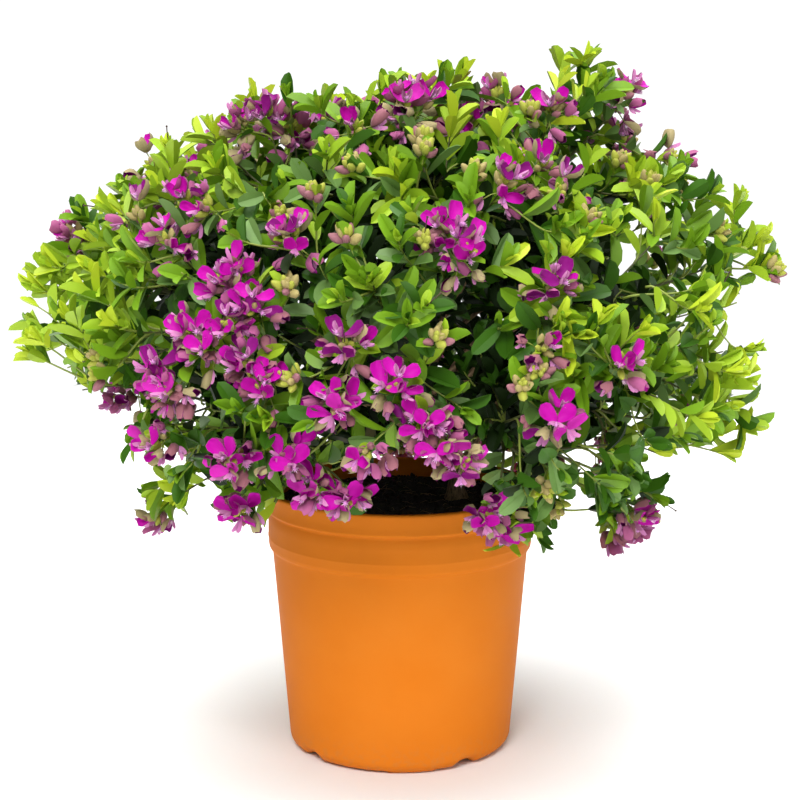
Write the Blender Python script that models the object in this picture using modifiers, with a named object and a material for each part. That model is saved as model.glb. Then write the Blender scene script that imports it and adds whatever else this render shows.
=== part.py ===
"""Potted myrtle-leaf milkwort: a dense flowering shrub in a 19 cm nursery pot.

Metres, +Z up. The origin is the middle of the pot's flat underside, and the front is the -Y side.
The crown is worked out from one rule. Its outside is an ellipsoid with named swells. Shoots end on
it, evenly spread and at the flower heads. Each mass of foliage holds the shoots of its own cell.
"""

import math
import random

import bmesh
import bpy
import numpy as np
from mathutils import Matrix, Vector

GAP = 0.0003  # between pieces that touch

# The pot
RIM_RADIUS = 0.095
POT_HEIGHT = 0.188
LIP_DEPTH = 0.0154  # from the rim's top to the lip's lower fold
LIP_ROUND = 0.0022
LIP_THICKNESS = 0.0038
LIP_FOLD = Vector((0.0008, 0.0020))  # how far in and up the lip's lower edge is bevelled
COLLAR_DEPTH = 0.0447  # from the rim's top to where the collar steps in
COLLAR_RADIUS = 0.0935
SHOULDER_RADIUS = 0.0905  # of the body, just under the collar
SHOULDER_SLOPE = 0.009  # height over which the collar curves in to the body
SHOULDER_BEND = Vector((0.0010, 0.004))  # how far in and up that curve has its middle
FOOT_RADIUS = 0.0785  # of the body's line, carried down to the ground
FOOT_ROUND = 0.009  # rounding between the body and the underside
WALL = 0.0022
INNER_STEP = 0.004  # how far under the lip the wall's inner side steps out
FLOOR = 0.007
FLOOR_RISE = 0.006  # height of the slope inside, between floor and wall
FLOOR_INSET = 0.0065  # how far that slope's foot lies in from the pot's outer side
LIP_ARC_POINTS = 4
FOOT_ARC_POINTS = 5
POT_STEPS = 40
NOTCH_COUNT = 4
NOTCH_BEARING = math.radians(-53)  # of the first notch, from +X
NOTCH_WIDTH = 0.023
NOTCH_HEIGHT = 0.005
NOTCH_DEPTH = 0.008
NOTCH_RADIUS = 0.075  # of the ring on which the notches have their middles

# The compost
SOIL_LEVEL = 0.1775  # in the middle
SOIL_FLAT_RADIUS = 0.062
SOIL_SINK = 0.0035  # how much lower the compost is at the wall

# The trunk
TRUNK_FOOT = Vector((0.040, 0.004, SOIL_LEVEL + GAP))
TRUNK_TIP = Vector((0.004, 0.0, 0.325))
TRUNK_RISE = 0.055  # how far each end runs upright before the lean
TRUNK_POINTS = 14
FLARE_RADIUS = 0.0088
FLARE_HEIGHT = 0.016
FLARE_POINT = 0.0025  # height of an extra point that keeps the flare's foot round
TRUNK_RADIUS = 0.0052
TRUNK_TIP_RADIUS = 0.0026

# The boughs
BOUGH_RADIUS = 0.0023
BOUGH_TIP_RADIUS = 0.0015
BOUGH_POINTS = 5
BOUGH_COLLAR = 0.003  # how far a bough runs square from the trunk
BOUGH_FOOT = 0.0035  # how far under its axis a bough meets the trunk
BOUGH_RISE = 0.5  # how steeply it then sets off, against its way out
BOUGH_END = 0.40  # where a bough enters its mass, as a share of the crown's reach
GOLDEN_STEP = 0.618  # between neighbours, as a share of the stretch that limbs or twigs leave
SET_OFF = 0.30  # how far a bend runs on the way that it sets off, as a share of its length
COME_IN = 0.35  # how far it runs on the way that it comes in

# The crown's outside, from its centre
CENTRE = Vector((0.0, 0.0, 0.285))
CROWN_ACROSS = 0.256
CROWN_UP = 0.196
CROWN_DOWN = 0.135
LOWEST = math.radians(-40)
SWELL_WIDTH = math.radians(10)
# Bearing from +X and elevation in degrees, and the share that the reach gains or loses there
SWELLS = (
    (0, 57, 0.20),
    (0, 17, 0.09),
    (0, -1, -0.10),
    (0, -15, 0.12),
    (0, -29, -0.16),
    (0, -44, 0.30),
    (180, 4, 0.08),
    (180, -15, -0.14),
    (180, -39, 0.22),
    (180, 60, 0.03),
    (95, 20, 0.08),
    (60, 42, 0.07),
    (130, -30, 0.12),
    (255, 10, -0.04),
)

# Where flower heads show in front, in metres across and up, on the upright plane through the pot's
# axis, as seen from the eye
EYE = Vector((0.0, -1.454, 0.516))
SIGHT = (1.1, 1.7)  # how far from the eye the crown lies
SIGHT_STEPS = 240
FRONT_HEADS = (
    (-0.235, 0.375), (-0.178, 0.423), (-0.175, 0.382), (-0.145, 0.438),
    (-0.094, 0.450), (-0.135, 0.386), (-0.163, 0.362), (-0.077, 0.366),
    (-0.111, 0.341), (-0.103, 0.315), (-0.146, 0.298), (-0.107, 0.275),
    (-0.164, 0.258), (-0.175, 0.220), (-0.172, 0.165), (-0.119, 0.205),
    (-0.080, 0.207), (-0.113, 0.170), (-0.042, 0.178), (-0.038, 0.288),
    (-0.003, 0.260), (-0.046, 0.246), (0.018, 0.231), (-0.025, 0.212),
    (0.042, 0.203), (0.003, 0.458), (-0.033, 0.451), (-0.062, 0.463),
    (0.072, 0.402), (0.045, 0.357), (0.107, 0.333), (0.110, 0.451),
    (0.155, 0.464), (0.193, 0.430), (0.111, 0.235), (0.086, 0.258),
    (0.100, 0.286), (0.158, 0.274), (0.073, 0.158), (0.166, 0.158),
)

# Masses of foliage: name, elevation in degrees, how many, bearing of the first in degrees,
# and the heights on the trunk between which their boughs start
TIERS = (
    ("skirt", -17, 6, 0, 0.205, 0.236),
    ("middle", 14, 8, 0, 0.243, 0.281),
    ("upper", 50, 5, 0, 0.289, 0.315),
)
TOP = Vector((-0.06, -0.02, 1.0)).normalized()  # the way to the mass on the trunk's own tip
MASS_CENTRE = 0.72  # where a mass has its centre, as a share of the reach
STEM_END = 0.68
STEM_RADIUS = 0.0016
STEM_POINTS = 5
TWIG_RADIUS = 0.0013
TWIG_TIP_RADIUS = 0.0009
TWIG_SEGMENTS = 2
TWIG_PRECISION = 6  # finer steps within each run, for roots and for room
TWIG_SIDES = 3
TWIG_STARTS = (0.20, 0.92)  # shares of the stem between which twigs leave it
TWIG_NUDGES = (0, 0.15, -0.15, 0.30, -0.30)  # tried in turn where a twig finds no room
TWIG_LIMITS = (0.12, 0.97)
TWIG_LIFT = 0.40  # how much a shoot's tip turns up, in the upper half
TWIG_DROOP = 0.10  # and down, in the lower half
TIP_COUNT = 174
HEAD_SPACING = math.radians(9)
TIP_SPACING = math.radians(11.8)
FRONT_SPACING = math.radians(9.6)
TIP_SHORTEST = 0.93  # where the leaves of the shortest shoots end, as a share of the reach
BLOOM_SHARE = 0.40  # of the shoots that don't show in front
SIDEWAYS = -0.25  # how far a direction may point to the front before it counts as shown there
GOLDEN_ANGLE = math.pi * (3 - math.sqrt(5))
SEED = 19

# Leaves and flowers, larger than life, each for a small spray
LEAF = Vector((0.026, 0.0018, 0.053))  # width, thickness, length
LEAF_SIZES = (0.85, 1.10)
LEAF_INSET = 0.90  # how far a leafy shoot ends inside the crown's outside, in leaf lengths
LEAF_WIDEST = 0.45
BLOOM = Vector((0.044, 0.044, 0.024))
BLOOM_SIZES = (0.90, 1.12)
BLOOM_INSET = 0.90
BLOOM_PETALS = 4
BLOOM_NOTCH = 0.40  # how far out the notches between petals lie, as a share of the petals' tips
BLOOM_CUP = 0.75  # how high the petals' tips lie, as a share of the bloom's height
BLOOM_SAMPLES = 16
LEAF_SAMPLES = 9
SUNK = 0.0010  # how far a root lies past its twig's axis
LEAF_TRIES = 6  # turns round its twig that a leaf tries for room
LEAF_PLACES = (0.50, 0.74, 0.96)  # shares of a leafy twig
HEAD_LEAF_PLACES = (0.46, 0.72)
LEAF_SPREAD = (1.15, 1.00, 0.40)  # angles between leaf and twig
FACE_UP = 0.6  # how much leaves turn their faces up, against out of the crown
FACE_SCATTER = 0.35

# Room that leaves and twigs keep
CELL_MARGIN = 0.0006
LIMB_MARGIN = 0.0012
BLADE_MARGIN = 0.0050
ROOT_SHARE = 0.3  # of a blade's length, near its root, where it may cross others
POT_MARGIN = 0.0030
MOST_REACH = 1.04  # how far a leaf's tip may stand out, as a share of the reach

# The low opening in front, through which the compost and the trunk's foot show
WINDOW_ACROSS = (-0.016, 0.050)
WINDOW_TOP = 0.192
WINDOW_SLOPE = 0.27

ORANGE = (0.80, 0.20, 0.03, 1.0)
PEAT = (0.020, 0.012, 0.008, 1.0)
BARK = (0.16, 0.10, 0.05, 1.0)
GREEN_WOOD = (0.20, 0.22, 0.06, 1.0)
LEAF_GREEN = (0.10, 0.26, 0.035, 1.0)
MAGENTA = (0.62, 0.01, 0.45, 1.0)


def clear_scene():
    for obj in list(bpy.data.objects):
        bpy.data.objects.remove(obj)


def collection_named(name):
    made = bpy.data.collections.new(name)
    bpy.context.scene.collection.children.link(made)
    return made


def material_named(name, colour, roughness):
    made = bpy.data.materials.new(name)
    made.use_nodes = True
    shader = made.node_tree.nodes["Principled BSDF"]
    shader.inputs["Base Color"].default_value = colour
    shader.inputs["Roughness"].default_value = roughness
    shader.inputs["Metallic"].default_value = 0.0
    made.diffuse_color = colour
    return made


def aim(bearing, elevation):
    """Unit direction, from angles in radians."""
    level = math.cos(elevation)
    return Vector((level * math.cos(bearing), level * math.sin(bearing), math.sin(elevation)))


def reach(direction):
    """Distance from the crown's centre to its outside in a unit direction."""
    half_height = CROWN_UP if direction.z > 0 else CROWN_DOWN
    level = math.hypot(direction.x, direction.y)
    distance = 1 / math.hypot(level / CROWN_ACROSS, direction.z / half_height)
    for bearing, elevation, share in SWELLS:
        apart = direction.angle(aim(math.radians(bearing), math.radians(elevation)))
        distance *= 1 + share * math.exp(-0.5 * (apart / SWELL_WIDTH) ** 2)
    return distance


def crown_point(direction, share):
    return CENTRE + direction * (reach(direction) * share)


def curve_points(start, first, second, end, count):
    """Points along the cubic from start to end, drawn by the two handles."""
    found = []
    for i in range(count):
        t = i / (count - 1)
        s = 1 - t
        found.append(start * s**3 + first * (3 * s * s * t) + second * (3 * s * t * t) + end * t**3)
    return found


def bent(start, sets_off, end, comes_in, count):
    """Points along a bend that leaves its start one way and comes in to its end another."""
    length = (end - start).length
    first = start + sets_off * (length * SET_OFF)
    return curve_points(start, first, end - comes_in * (length * COME_IN), end, count)


def tapered(first, last, count):
    return [first + (last - first) * i / (count - 1) for i in range(count)]


# The pot and its compost


def body_radius(height):
    """Outer radius of the pot's body, which tapers evenly to the ground."""
    share = height / (POT_HEIGHT - COLLAR_DEPTH)
    return FOOT_RADIUS + (SHOULDER_RADIUS - FOOT_RADIUS) * share


def arc(middle, radius, first, last, count):
    """Points of a round edge in the turned profile, as (radius, height)."""
    angles = [first + (last - first) * i / (count - 1) for i in range(count)]
    return [(middle[0] + radius * math.cos(a), middle[1] + radius * math.sin(a)) for a in angles]


def turned(name, profile, material, home):
    """A closed profile, down its outer side, turned round the Z axis."""
    mesh = bpy.data.meshes.new(name)
    shape = bmesh.new()
    corners = [shape.verts.new((radius, 0.0, height)) for radius, height in profile]
    for one, other in zip(corners, corners[1:]):
        shape.edges.new((one, other))
    shape.to_mesh(mesh)
    shape.free()
    obj = bpy.data.objects.new(name, mesh)
    home.objects.link(obj)
    mesh.materials.append(material)
    screw = obj.modifiers.new("turn", "SCREW")
    screw.axis = "Z"
    screw.angle = math.tau
    screw.steps = POT_STEPS
    screw.render_steps = POT_STEPS
    screw.use_merge_vertices = True
    screw.merge_threshold = 0.00005
    screw.use_smooth_shade = True
    return obj


def inner_side(gap):
    """Points down the pot's inner side to the middle of its floor, moved in from it by a gap."""
    slope_top = FLOOR + FLOOR_RISE
    return [
        (COLLAR_RADIUS - WALL - gap, POT_HEIGHT - LIP_DEPTH - INNER_STEP),
        (SHOULDER_RADIUS - WALL - gap, POT_HEIGHT - COLLAR_DEPTH),
        (body_radius(slope_top) - WALL - gap, slope_top + gap),
        (body_radius(FLOOR) - FLOOR_INSET - gap, FLOOR + gap),
        (0.0, FLOOR + gap),
    ]


def pot_profile():
    """From the middle of the floor up the inner side, over the lip and down to the underside."""
    lip_bottom = POT_HEIGHT - LIP_DEPTH
    collar_bottom = POT_HEIGHT - COLLAR_DEPTH
    lip_middle = (RIM_RADIUS - LIP_ROUND, POT_HEIGHT - LIP_ROUND)
    foot_middle = (body_radius(FOOT_ROUND) - FOOT_ROUND, FOOT_ROUND)
    return [
        *reversed(inner_side(0)),
        (RIM_RADIUS - LIP_THICKNESS, POT_HEIGHT),
        *arc(lip_middle, LIP_ROUND, math.pi / 2, 0, LIP_ARC_POINTS),
        (RIM_RADIUS, lip_bottom + LIP_FOLD.y),
        (RIM_RADIUS - LIP_FOLD.x, lip_bottom),
        (COLLAR_RADIUS, lip_bottom - LIP_FOLD.y),
        (COLLAR_RADIUS, collar_bottom + SHOULDER_SLOPE),
        (COLLAR_RADIUS - SHOULDER_BEND.x, collar_bottom + SHOULDER_BEND.y),
        (SHOULDER_RADIUS, collar_bottom),
        *arc(foot_middle, FOOT_ROUND, 0, -math.pi / 2, FOOT_ARC_POINTS),
        (0.0, 0.0),
    ]


def make_pot(home, cutters, material):
    """A moulded pot with a rolled lip, a collar, a tapered body and drainage arches at its foot."""
    pot = turned("pot", pot_profile(), material, home)
    for i in range(NOTCH_COUNT):
        bearing = NOTCH_BEARING + math.tau * i / NOTCH_COUNT
        half_width = NOTCH_WIDTH / 2
        bpy.ops.mesh.primitive_cylinder_add(vertices=16, radius=half_width, depth=2 * NOTCH_DEPTH)
        arch = bpy.context.object
        arch.name = f"arch_cutter_{i + 1}"
        arch.data.transform(Matrix.Rotation(math.pi / 2, 4, "Y"))
        arch.data.transform(Matrix.Diagonal((1, 1, NOTCH_HEIGHT / half_width, 1)))
        arch.location = aim(bearing, 0) * NOTCH_RADIUS
        arch.rotation_euler = (0, 0, bearing)
        arch.display_type = "WIRE"
        arch.hide_render = True
        for holder in list(arch.users_collection):
            holder.objects.unlink(arch)
        cutters.objects.link(arch)
        cut = pot.modifiers.new(f"arch_{i + 1}", "BOOLEAN")
        cut.operation = "DIFFERENCE"
        cut.object = arch
    return pot


def make_compost(home, material):
    """Peat that fills the pot, a little lower at the wall."""
    filled = inner_side(GAP)
    edge_radius = filled[0][0]
    profile = [
        (0.0, SOIL_LEVEL),
        (SOIL_FLAT_RADIUS, SOIL_LEVEL),
        (edge_radius, SOIL_LEVEL - SOIL_SINK),
        *filled,
    ]
    return turned("compost", profile, material, home)


# Trunk and boughs


class Limb:
    """A tapering limb: its axis as points, and the radius at each."""

    def __init__(self, name, points, radii):
        self.name = name
        self.points = points
        self.radii = radii

    def at_height(self, height):
        """The axis point, direction and radius of an upright limb at a height."""
        for i, (low, high) in enumerate(zip(self.points, self.points[1:])):
            if high.z >= height:
                share = (height - low.z) / (high.z - low.z)
                radius = self.radii[i] + (self.radii[i + 1] - self.radii[i]) * share
                return low.lerp(high, share), (high - low).normalized(), radius
        raise ValueError(f"{self.name} doesn't reach {height}")

    def end_direction(self):
        return (self.points[-1] - self.points[-2]).normalized()


def trunk_limb():
    """The trunk leans from its flat cut on the compost to the middle of the crown, with a root flare."""
    up = Vector((0, 0, TRUNK_RISE))
    upper = curve_points(TRUNK_FOOT, TRUNK_FOOT + up, TRUNK_TIP - up, TRUNK_TIP, TRUNK_POINTS)
    points = [TRUNK_FOOT, TRUNK_FOOT + Vector((0, 0, FLARE_POINT)), *upper[1:]]
    radii = []
    for point in points:
        height = point.z - TRUNK_FOOT.z
        taper = height / (TRUNK_TIP.z - TRUNK_FOOT.z)
        radius = TRUNK_RADIUS + (TRUNK_TIP_RADIUS - TRUNK_RADIUS) * taper
        flare = (FLARE_RADIUS - TRUNK_RADIUS) * max(0.0, 1 - height / FLARE_HEIGHT) ** 2
        radii.append(radius + flare)
    return Limb("trunk", points, radii)


def mass_plan():
    """For each mass on a bough its name, its direction and where the bough leaves the trunk."""
    plan = []
    for tier, elevation, count, first, low, high in TIERS:
        for i in range(count):
            direction = aim(math.radians(first + 360 * i / count), math.radians(elevation))
            height = low + (high - low) * (i * GOLDEN_STEP % 1)
            plan.append((f"{tier}_{i + 1}", direction, height))
    return plan


def bough_limb(name, direction, height, trunk):
    """A bough springs square from the trunk and bends to run into its mass."""
    axis, trunk_way, _ = trunk.at_height(height)
    thickest = trunk.at_height(height - BOUGH_FOOT)[2]
    end = crown_point(direction, BOUGH_END)
    towards = end - axis
    square = (towards - trunk_way * towards.dot(trunk_way)).normalized()
    seat = axis + square * (thickest + GAP)
    start = seat + square * BOUGH_COLLAR
    into = (crown_point(direction, MASS_CENTRE) - end).normalized()
    points = [seat, *bent(start, square + trunk_way * BOUGH_RISE, end, into, BOUGH_POINTS)]
    return Limb(name, points, tapered(BOUGH_RADIUS, BOUGH_TIP_RADIUS, len(points)))


def make_limb(limb, home, material, resolution):
    """The limb as a tube on a curve of straight runs, with its taper and filled ends."""
    curve = bpy.data.curves.new(limb.name, "CURVE")
    curve.dimensions = "3D"
    curve.bevel_depth = 1.0
    curve.bevel_resolution = resolution
    curve.use_fill_caps = True
    spline = curve.splines.new("POLY")
    spline.points.add(len(limb.points) - 1)
    for knot, place, radius in zip(spline.points, limb.points, limb.radii):
        knot.co = (*place, 1.0)
        knot.radius = radius
    curve.materials.append(material)
    obj = bpy.data.objects.new(limb.name, curve)
    home.objects.link(obj)
    return obj


# Shoots


def seen_from_front(across, up):
    """Direction from the crown's centre to where a sight line first meets its outside, or passes nearest."""
    ray = (Vector((across, 0.0, up)) - EYE).normalized()
    found = []
    for i in range(SIGHT_STEPS):
        out = EYE + ray * (SIGHT[0] + (SIGHT[1] - SIGHT[0]) * i / SIGHT_STEPS) - CENTRE
        direction = out.normalized()
        found.append((max(1.0, out.length / reach(direction)), i, direction))
    return min(found)[2]


def crown_tips():
    """Where shoots end, and whether in flowers: the heads in front, the crown's longest shoots, then
    an even spread between them."""
    dice = random.Random(SEED)
    directions = []
    tips = []

    def add(direction, share, blooms, spacing):
        if all(direction.angle(other) > spacing for other in directions):
            inset = BLOOM.z * BLOOM_INSET if blooms else LEAF.z * LEAF_INSET
            directions.append(direction)
            tips.append((CENTRE + direction * (reach(direction) * share - inset), blooms))

    for across, up in FRONT_HEADS:
        add(seen_from_front(across, up), 1.0, True, HEAD_SPACING)
    for bearing, elevation, share in SWELLS:
        if share > 0:
            add(aim(math.radians(bearing), math.radians(elevation)), 1.0, False, HEAD_SPACING)
    for i in range(TIP_COUNT):
        rise = 1 - (1 - math.sin(LOWEST)) * (i + 0.5) / TIP_COUNT
        direction = aim(i * GOLDEN_ANGLE, math.asin(rise))
        in_front = direction.y < SIDEWAYS
        blooms = dice.random() < BLOOM_SHARE and not in_front
        spacing = FRONT_SPACING if in_front else TIP_SPACING
        add(direction, dice.uniform(TIP_SHORTEST, 1.0), blooms, spacing)
    return tips


class Space:
    """The room of one mass: nearer its own centre than any other's, and clear of limbs and pot."""

    def __init__(self, index, centres, limbs):
        self.centre = centres[index]
        self.others = np.delete(centres, index, axis=0)
        starts = [point for limb in limbs for point in limb.points[:-1]]
        ends = [point for limb in limbs for point in limb.points[1:]]
        self.starts = np.array(starts)
        self.spans = np.array(ends) - self.starts
        self.radii = np.array([radius for limb in limbs for radius in limb.radii[:-1]])
        self.taken = np.zeros((0, 3))

    def take(self, points):
        self.taken = np.vstack([self.taken, points])

    def is_free(self, points):
        apart = np.linalg.norm(points[:, None] - self.taken, axis=2)
        return bool((apart > BLADE_MARGIN).all())

    def holds(self, points):
        return self.in_cell(points) and self.clear_of_limbs(points) and clear_of_pot(points)

    def in_cell(self, points):
        own = ((points - self.centre) ** 2).sum(axis=1)
        away = ((points[:, None] - self.others) ** 2).sum(axis=2)
        apart = np.linalg.norm(self.others - self.centre, axis=1)
        return bool((away - own[:, None] > 2 * apart * CELL_MARGIN).all())

    def clear_of_limbs(self, points):
        offset = points[:, None] - self.starts
        share = (offset * self.spans).sum(axis=2) / (self.spans**2).sum(axis=1)
        nearest = self.starts + share.clip(0, 1)[:, :, None] * self.spans
        distance = np.linalg.norm(points[:, None] - nearest, axis=2) - self.radii
        return bool((distance > LIMB_MARGIN).all())


def clear_of_pot(points):
    """Outside the pot and its mouth, and outside the low opening in front."""
    level = np.hypot(points[:, 0], points[:, 1])
    in_pot = (level < RIM_RADIUS + POT_MARGIN) & (points[:, 2] < POT_HEIGHT + POT_MARGIN)
    across = (points[:, 0] > WINDOW_ACROSS[0]) & (points[:, 0] < WINDOW_ACROSS[1])
    under = points[:, 2] < WINDOW_TOP - WINDOW_SLOPE * points[:, 1]
    in_window = across & under & (points[:, 1] < 0)
    return not (in_pot | in_window).any()


def tube_mesh(name, points, radii, material):
    """A three-sided twig, drawn out of a triangle from ring to ring with no twist."""
    shape = bmesh.new()
    bmesh.ops.create_circle(shape, cap_ends=True, segments=TWIG_SIDES, radius=1.0)
    face = shape.faces[:][0]
    last = len(points) - 1
    side = (points[1] - points[0]).orthogonal()
    for i, (point, radius) in enumerate(zip(points, radii)):
        way = (points[min(i + 1, last)] - points[max(i - 1, 0)]).normalized()
        side = (side - way * side.dot(way)).normalized()
        third = way.cross(side)
        if i:
            drawn = bmesh.ops.extrude_face_region(shape, geom=[face])["geom"]
            if i > 1:
                bmesh.ops.delete(shape, geom=[face], context="FACES_ONLY")
            face = next(item for item in drawn if isinstance(item, bmesh.types.BMFace))
        for corner, vert in enumerate(face.verts):
            angle = math.tau * corner / TWIG_SIDES
            vert.co = point + (side * math.cos(angle) + third * math.sin(angle)) * radius
    bmesh.ops.recalc_face_normals(shape, faces=shape.faces)
    if shape.calc_volume(signed=True) < 0:
        bmesh.ops.reverse_faces(shape, faces=shape.faces)
    mesh = bpy.data.meshes.new(name)
    shape.to_mesh(mesh)
    shape.free()
    mesh.materials.append(material)
    return mesh


def leaf_mesh(material):
    """A flattened octahedron from its root at the origin to its tip at Z = 1, one unit wide and thick."""
    shape = bmesh.new()
    bmesh.ops.create_uvsphere(shape, u_segments=4, v_segments=2, radius=0.5)
    for vert in shape.verts:
        vert.co.z = LEAF_WIDEST if abs(vert.co.z) < 0.1 else vert.co.z + 0.5
    mesh = bpy.data.meshes.new("leaf")
    shape.to_mesh(mesh)
    shape.free()
    mesh.materials.append(material)
    return mesh


def bloom_mesh(material):
    """A cupped star of petals round a pointed root, one unit across and high: a whole flower head."""
    shape = bmesh.new()
    bmesh.ops.create_uvsphere(shape, u_segments=2 * BLOOM_PETALS, v_segments=2, radius=0.5)
    around = [vert for vert in shape.verts if abs(vert.co.z) < 0.1]
    around.sort(key=lambda vert: math.atan2(vert.co.y, vert.co.x))
    for vert in shape.verts:
        vert.co.z = vert.co.z + 0.5
    for i, vert in enumerate(around):
        inner = i % 2
        vert.co.xy *= BLOOM_NOTCH if inner else 1.0
        vert.co.z = 0.5 if inner else BLOOM_CUP
    mesh = bpy.data.meshes.new("bloom")
    shape.to_mesh(mesh)
    shape.free()
    mesh.materials.append(material)
    return mesh


def bloom_samples():
    """Points all over a bloom's outline, in its own units."""
    found = [(0.0, 0.0, 0.0), (0.0, 0.0, 1.0)]
    for turn in np.linspace(0, math.tau, BLOOM_SAMPLES, endpoint=False):
        for out in (0.25, 0.5):
            found.append((out * math.cos(turn), out * math.sin(turn), BLOOM_CUP))
    return np.array(found)


def leaf_samples():
    """Points all over a leaf's outline, in its own units."""
    found = [(0.0, -0.5, LEAF_WIDEST), (0.0, 0.5, LEAF_WIDEST)]
    for along in np.linspace(0, 1, LEAF_SAMPLES):
        half = 0.5 * min(along / LEAF_WIDEST, (1 - along) / (1 - LEAF_WIDEST))
        found += [(half * share, 0.0, along) for share in (-1, -0.5, 0, 0.5, 1)]
    return np.array(found)


class Spray:
    """A leaf or a flower head: its mesh, the points that need room, and those that keep from others."""

    def __init__(self, mesh, samples, size, sizes):
        self.mesh = mesh
        self.samples = samples
        self.outer = samples[samples[:, 2] > ROOT_SHARE]
        self.size = size
        self.sizes = sizes


def blade_place(root, along, facing, size):
    """Where a blade lies: its length along one direction, its face towards the other."""
    across = facing.cross(along).normalized()
    facing = along.cross(across).normalized()
    turn = Matrix((across, facing, along)).transposed().to_4x4()
    return Matrix.Translation(root) @ turn @ Matrix.Diagonal((*size, 1.0))


def placed(samples, place):
    matrix = np.array(place)
    return samples @ matrix[:3, :3].T + matrix[:3, 3]


def side_way(way, turn, spread):
    """A direction at an angle to a twig's, at a turn round it."""
    first = way.orthogonal().normalized()
    second = way.cross(first).normalized()
    out = first * math.cos(turn) + second * math.sin(turn)
    return (way * math.cos(spread) + out * math.sin(spread)).normalized()


class Grower:
    """Grows one mass and joins it into one solid."""

    def __init__(self, name, space, home, leaf, bloom, wood):
        self.name = name
        self.space = space
        self.home = home
        self.leaf = leaf
        self.bloom = bloom
        self.wood = wood
        self.sprays = bpy.data.collections.new(f"{name}_sprays")
        self.dice = random.Random(f"{SEED} {name}")

    def add_spray(self, spray, root, along, facing, size):
        """Puts a leaf or a flower head on a root, if it finds room."""
        place = blade_place(root - along * SUNK, along, facing, size)
        out = root + along * size.z - CENTRE
        spread = placed(spray.outer, place)
        if out.length > reach(out.normalized()) * MOST_REACH:
            return False
        if not (self.space.holds(placed(spray.samples, place)) and self.space.is_free(spread)):
            return False
        self.space.take(spread)
        obj = bpy.data.objects.new(spray.mesh.name, spray.mesh)
        obj.matrix_world = place
        self.sprays.objects.link(obj)
        return True

    def add_twig(self, start, stem_way, tip):
        """A twig from the stem to a tip. Gives finer points along it, or nothing if it has no room."""
        outward = (tip - CENTRE).normalized()
        turned_up = TWIG_LIFT if outward.z > 0 else -TWIG_DROOP
        comes_in = (outward + Vector((0, 0, turned_up))).normalized()
        fine = bent(start, stem_way, tip, comes_in, TWIG_SEGMENTS * TWIG_PRECISION + 1)
        if not self.space.holds(np.array(fine[2:])):
            return None
        self.space.take(np.array(fine))
        points = fine[::TWIG_PRECISION]
        radii = tapered(TWIG_RADIUS, TWIG_TIP_RADIUS, len(points))
        mesh = tube_mesh("twig", points, radii, self.wood)
        self.sprays.objects.link(bpy.data.objects.new("twig", mesh))
        return fine

    def add_head(self, fine):
        """A flower head on a twig's tip."""
        way = (fine[-1] - fine[-2]).normalized()
        facing = side_way(way, self.dice.uniform(0, math.tau), math.pi / 2)
        size = self.bloom.size * self.dice.uniform(*self.bloom.sizes)
        self.add_spray(self.bloom, fine[-1], way, facing, size)

    def add_leaf(self, fine, share, spread):
        """A leaf at a share of a twig, turned round it until there is room."""
        step = int(share * (len(fine) - 1))
        way = (fine[step + 1] - fine[step]).normalized()
        root = fine[step].lerp(fine[step + 1], share * (len(fine) - 1) - step)
        size = self.leaf.size * self.dice.uniform(*self.leaf.sizes)
        turn = self.dice.uniform(0, math.tau)
        for _ in range(LEAF_TRIES):
            turn += GOLDEN_ANGLE
            scatter = [self.dice.uniform(-FACE_SCATTER, FACE_SCATTER) for _ in range(3)]
            facing = (root - CENTRE).normalized() + Vector((0, 0, FACE_UP)) + Vector(scatter)
            if self.add_spray(self.leaf, root, side_way(way, turn, spread), facing, size):
                return

    def join(self, stem):
        """One Boolean union of the stem with all its sprays, left as one closed body."""
        radii = [STEM_RADIUS] * len(stem)
        mesh = tube_mesh(self.name, stem, radii, self.wood)
        for spray in (self.leaf, self.bloom):
            mesh.materials.append(spray.mesh.materials[0])
        whole = bpy.data.objects.new(self.name, mesh)
        self.home.objects.link(whole)
        bpy.context.scene.collection.children.link(self.sprays)
        union = whole.modifiers.new("join", "BOOLEAN")
        union.operation = "UNION"
        union.operand_type = "COLLECTION"
        union.collection = self.sprays
        union.solver = "MANIFOLD"  # takes seconds where the exact solver takes minutes
        graph = bpy.context.evaluated_depsgraph_get()
        joined = bpy.data.meshes.new_from_object(whole.evaluated_get(graph))
        joined.name = self.name
        whole.modifiers.clear()
        whole.data = joined
        for obj in list(self.sprays.objects):
            bpy.data.objects.remove(obj)
        bpy.data.collections.remove(self.sprays)
        keep_outer_shell(joined)


def keep_outer_shell(mesh):
    """Drops loose scraps, and the inner walls of hollows that the joining sealed."""
    shape = bmesh.new()
    shape.from_mesh(mesh)
    bmesh.ops.triangulate(shape, faces=shape.faces)
    shells = []
    left = set(shape.verts)
    while left:
        shell = set()
        edge = [left.pop()]
        while edge:
            vert = edge.pop()
            shell.add(vert)
            for link in vert.link_edges:
                other = link.other_vert(vert)
                if other in left:
                    left.remove(other)
                    edge.append(other)
        shells.append(shell)
    shells.sort(key=len)
    for shell in shells[:-1]:
        bmesh.ops.delete(shape, geom=list(shell), context="VERTS")
    shape.to_mesh(mesh)
    shape.free()


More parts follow.
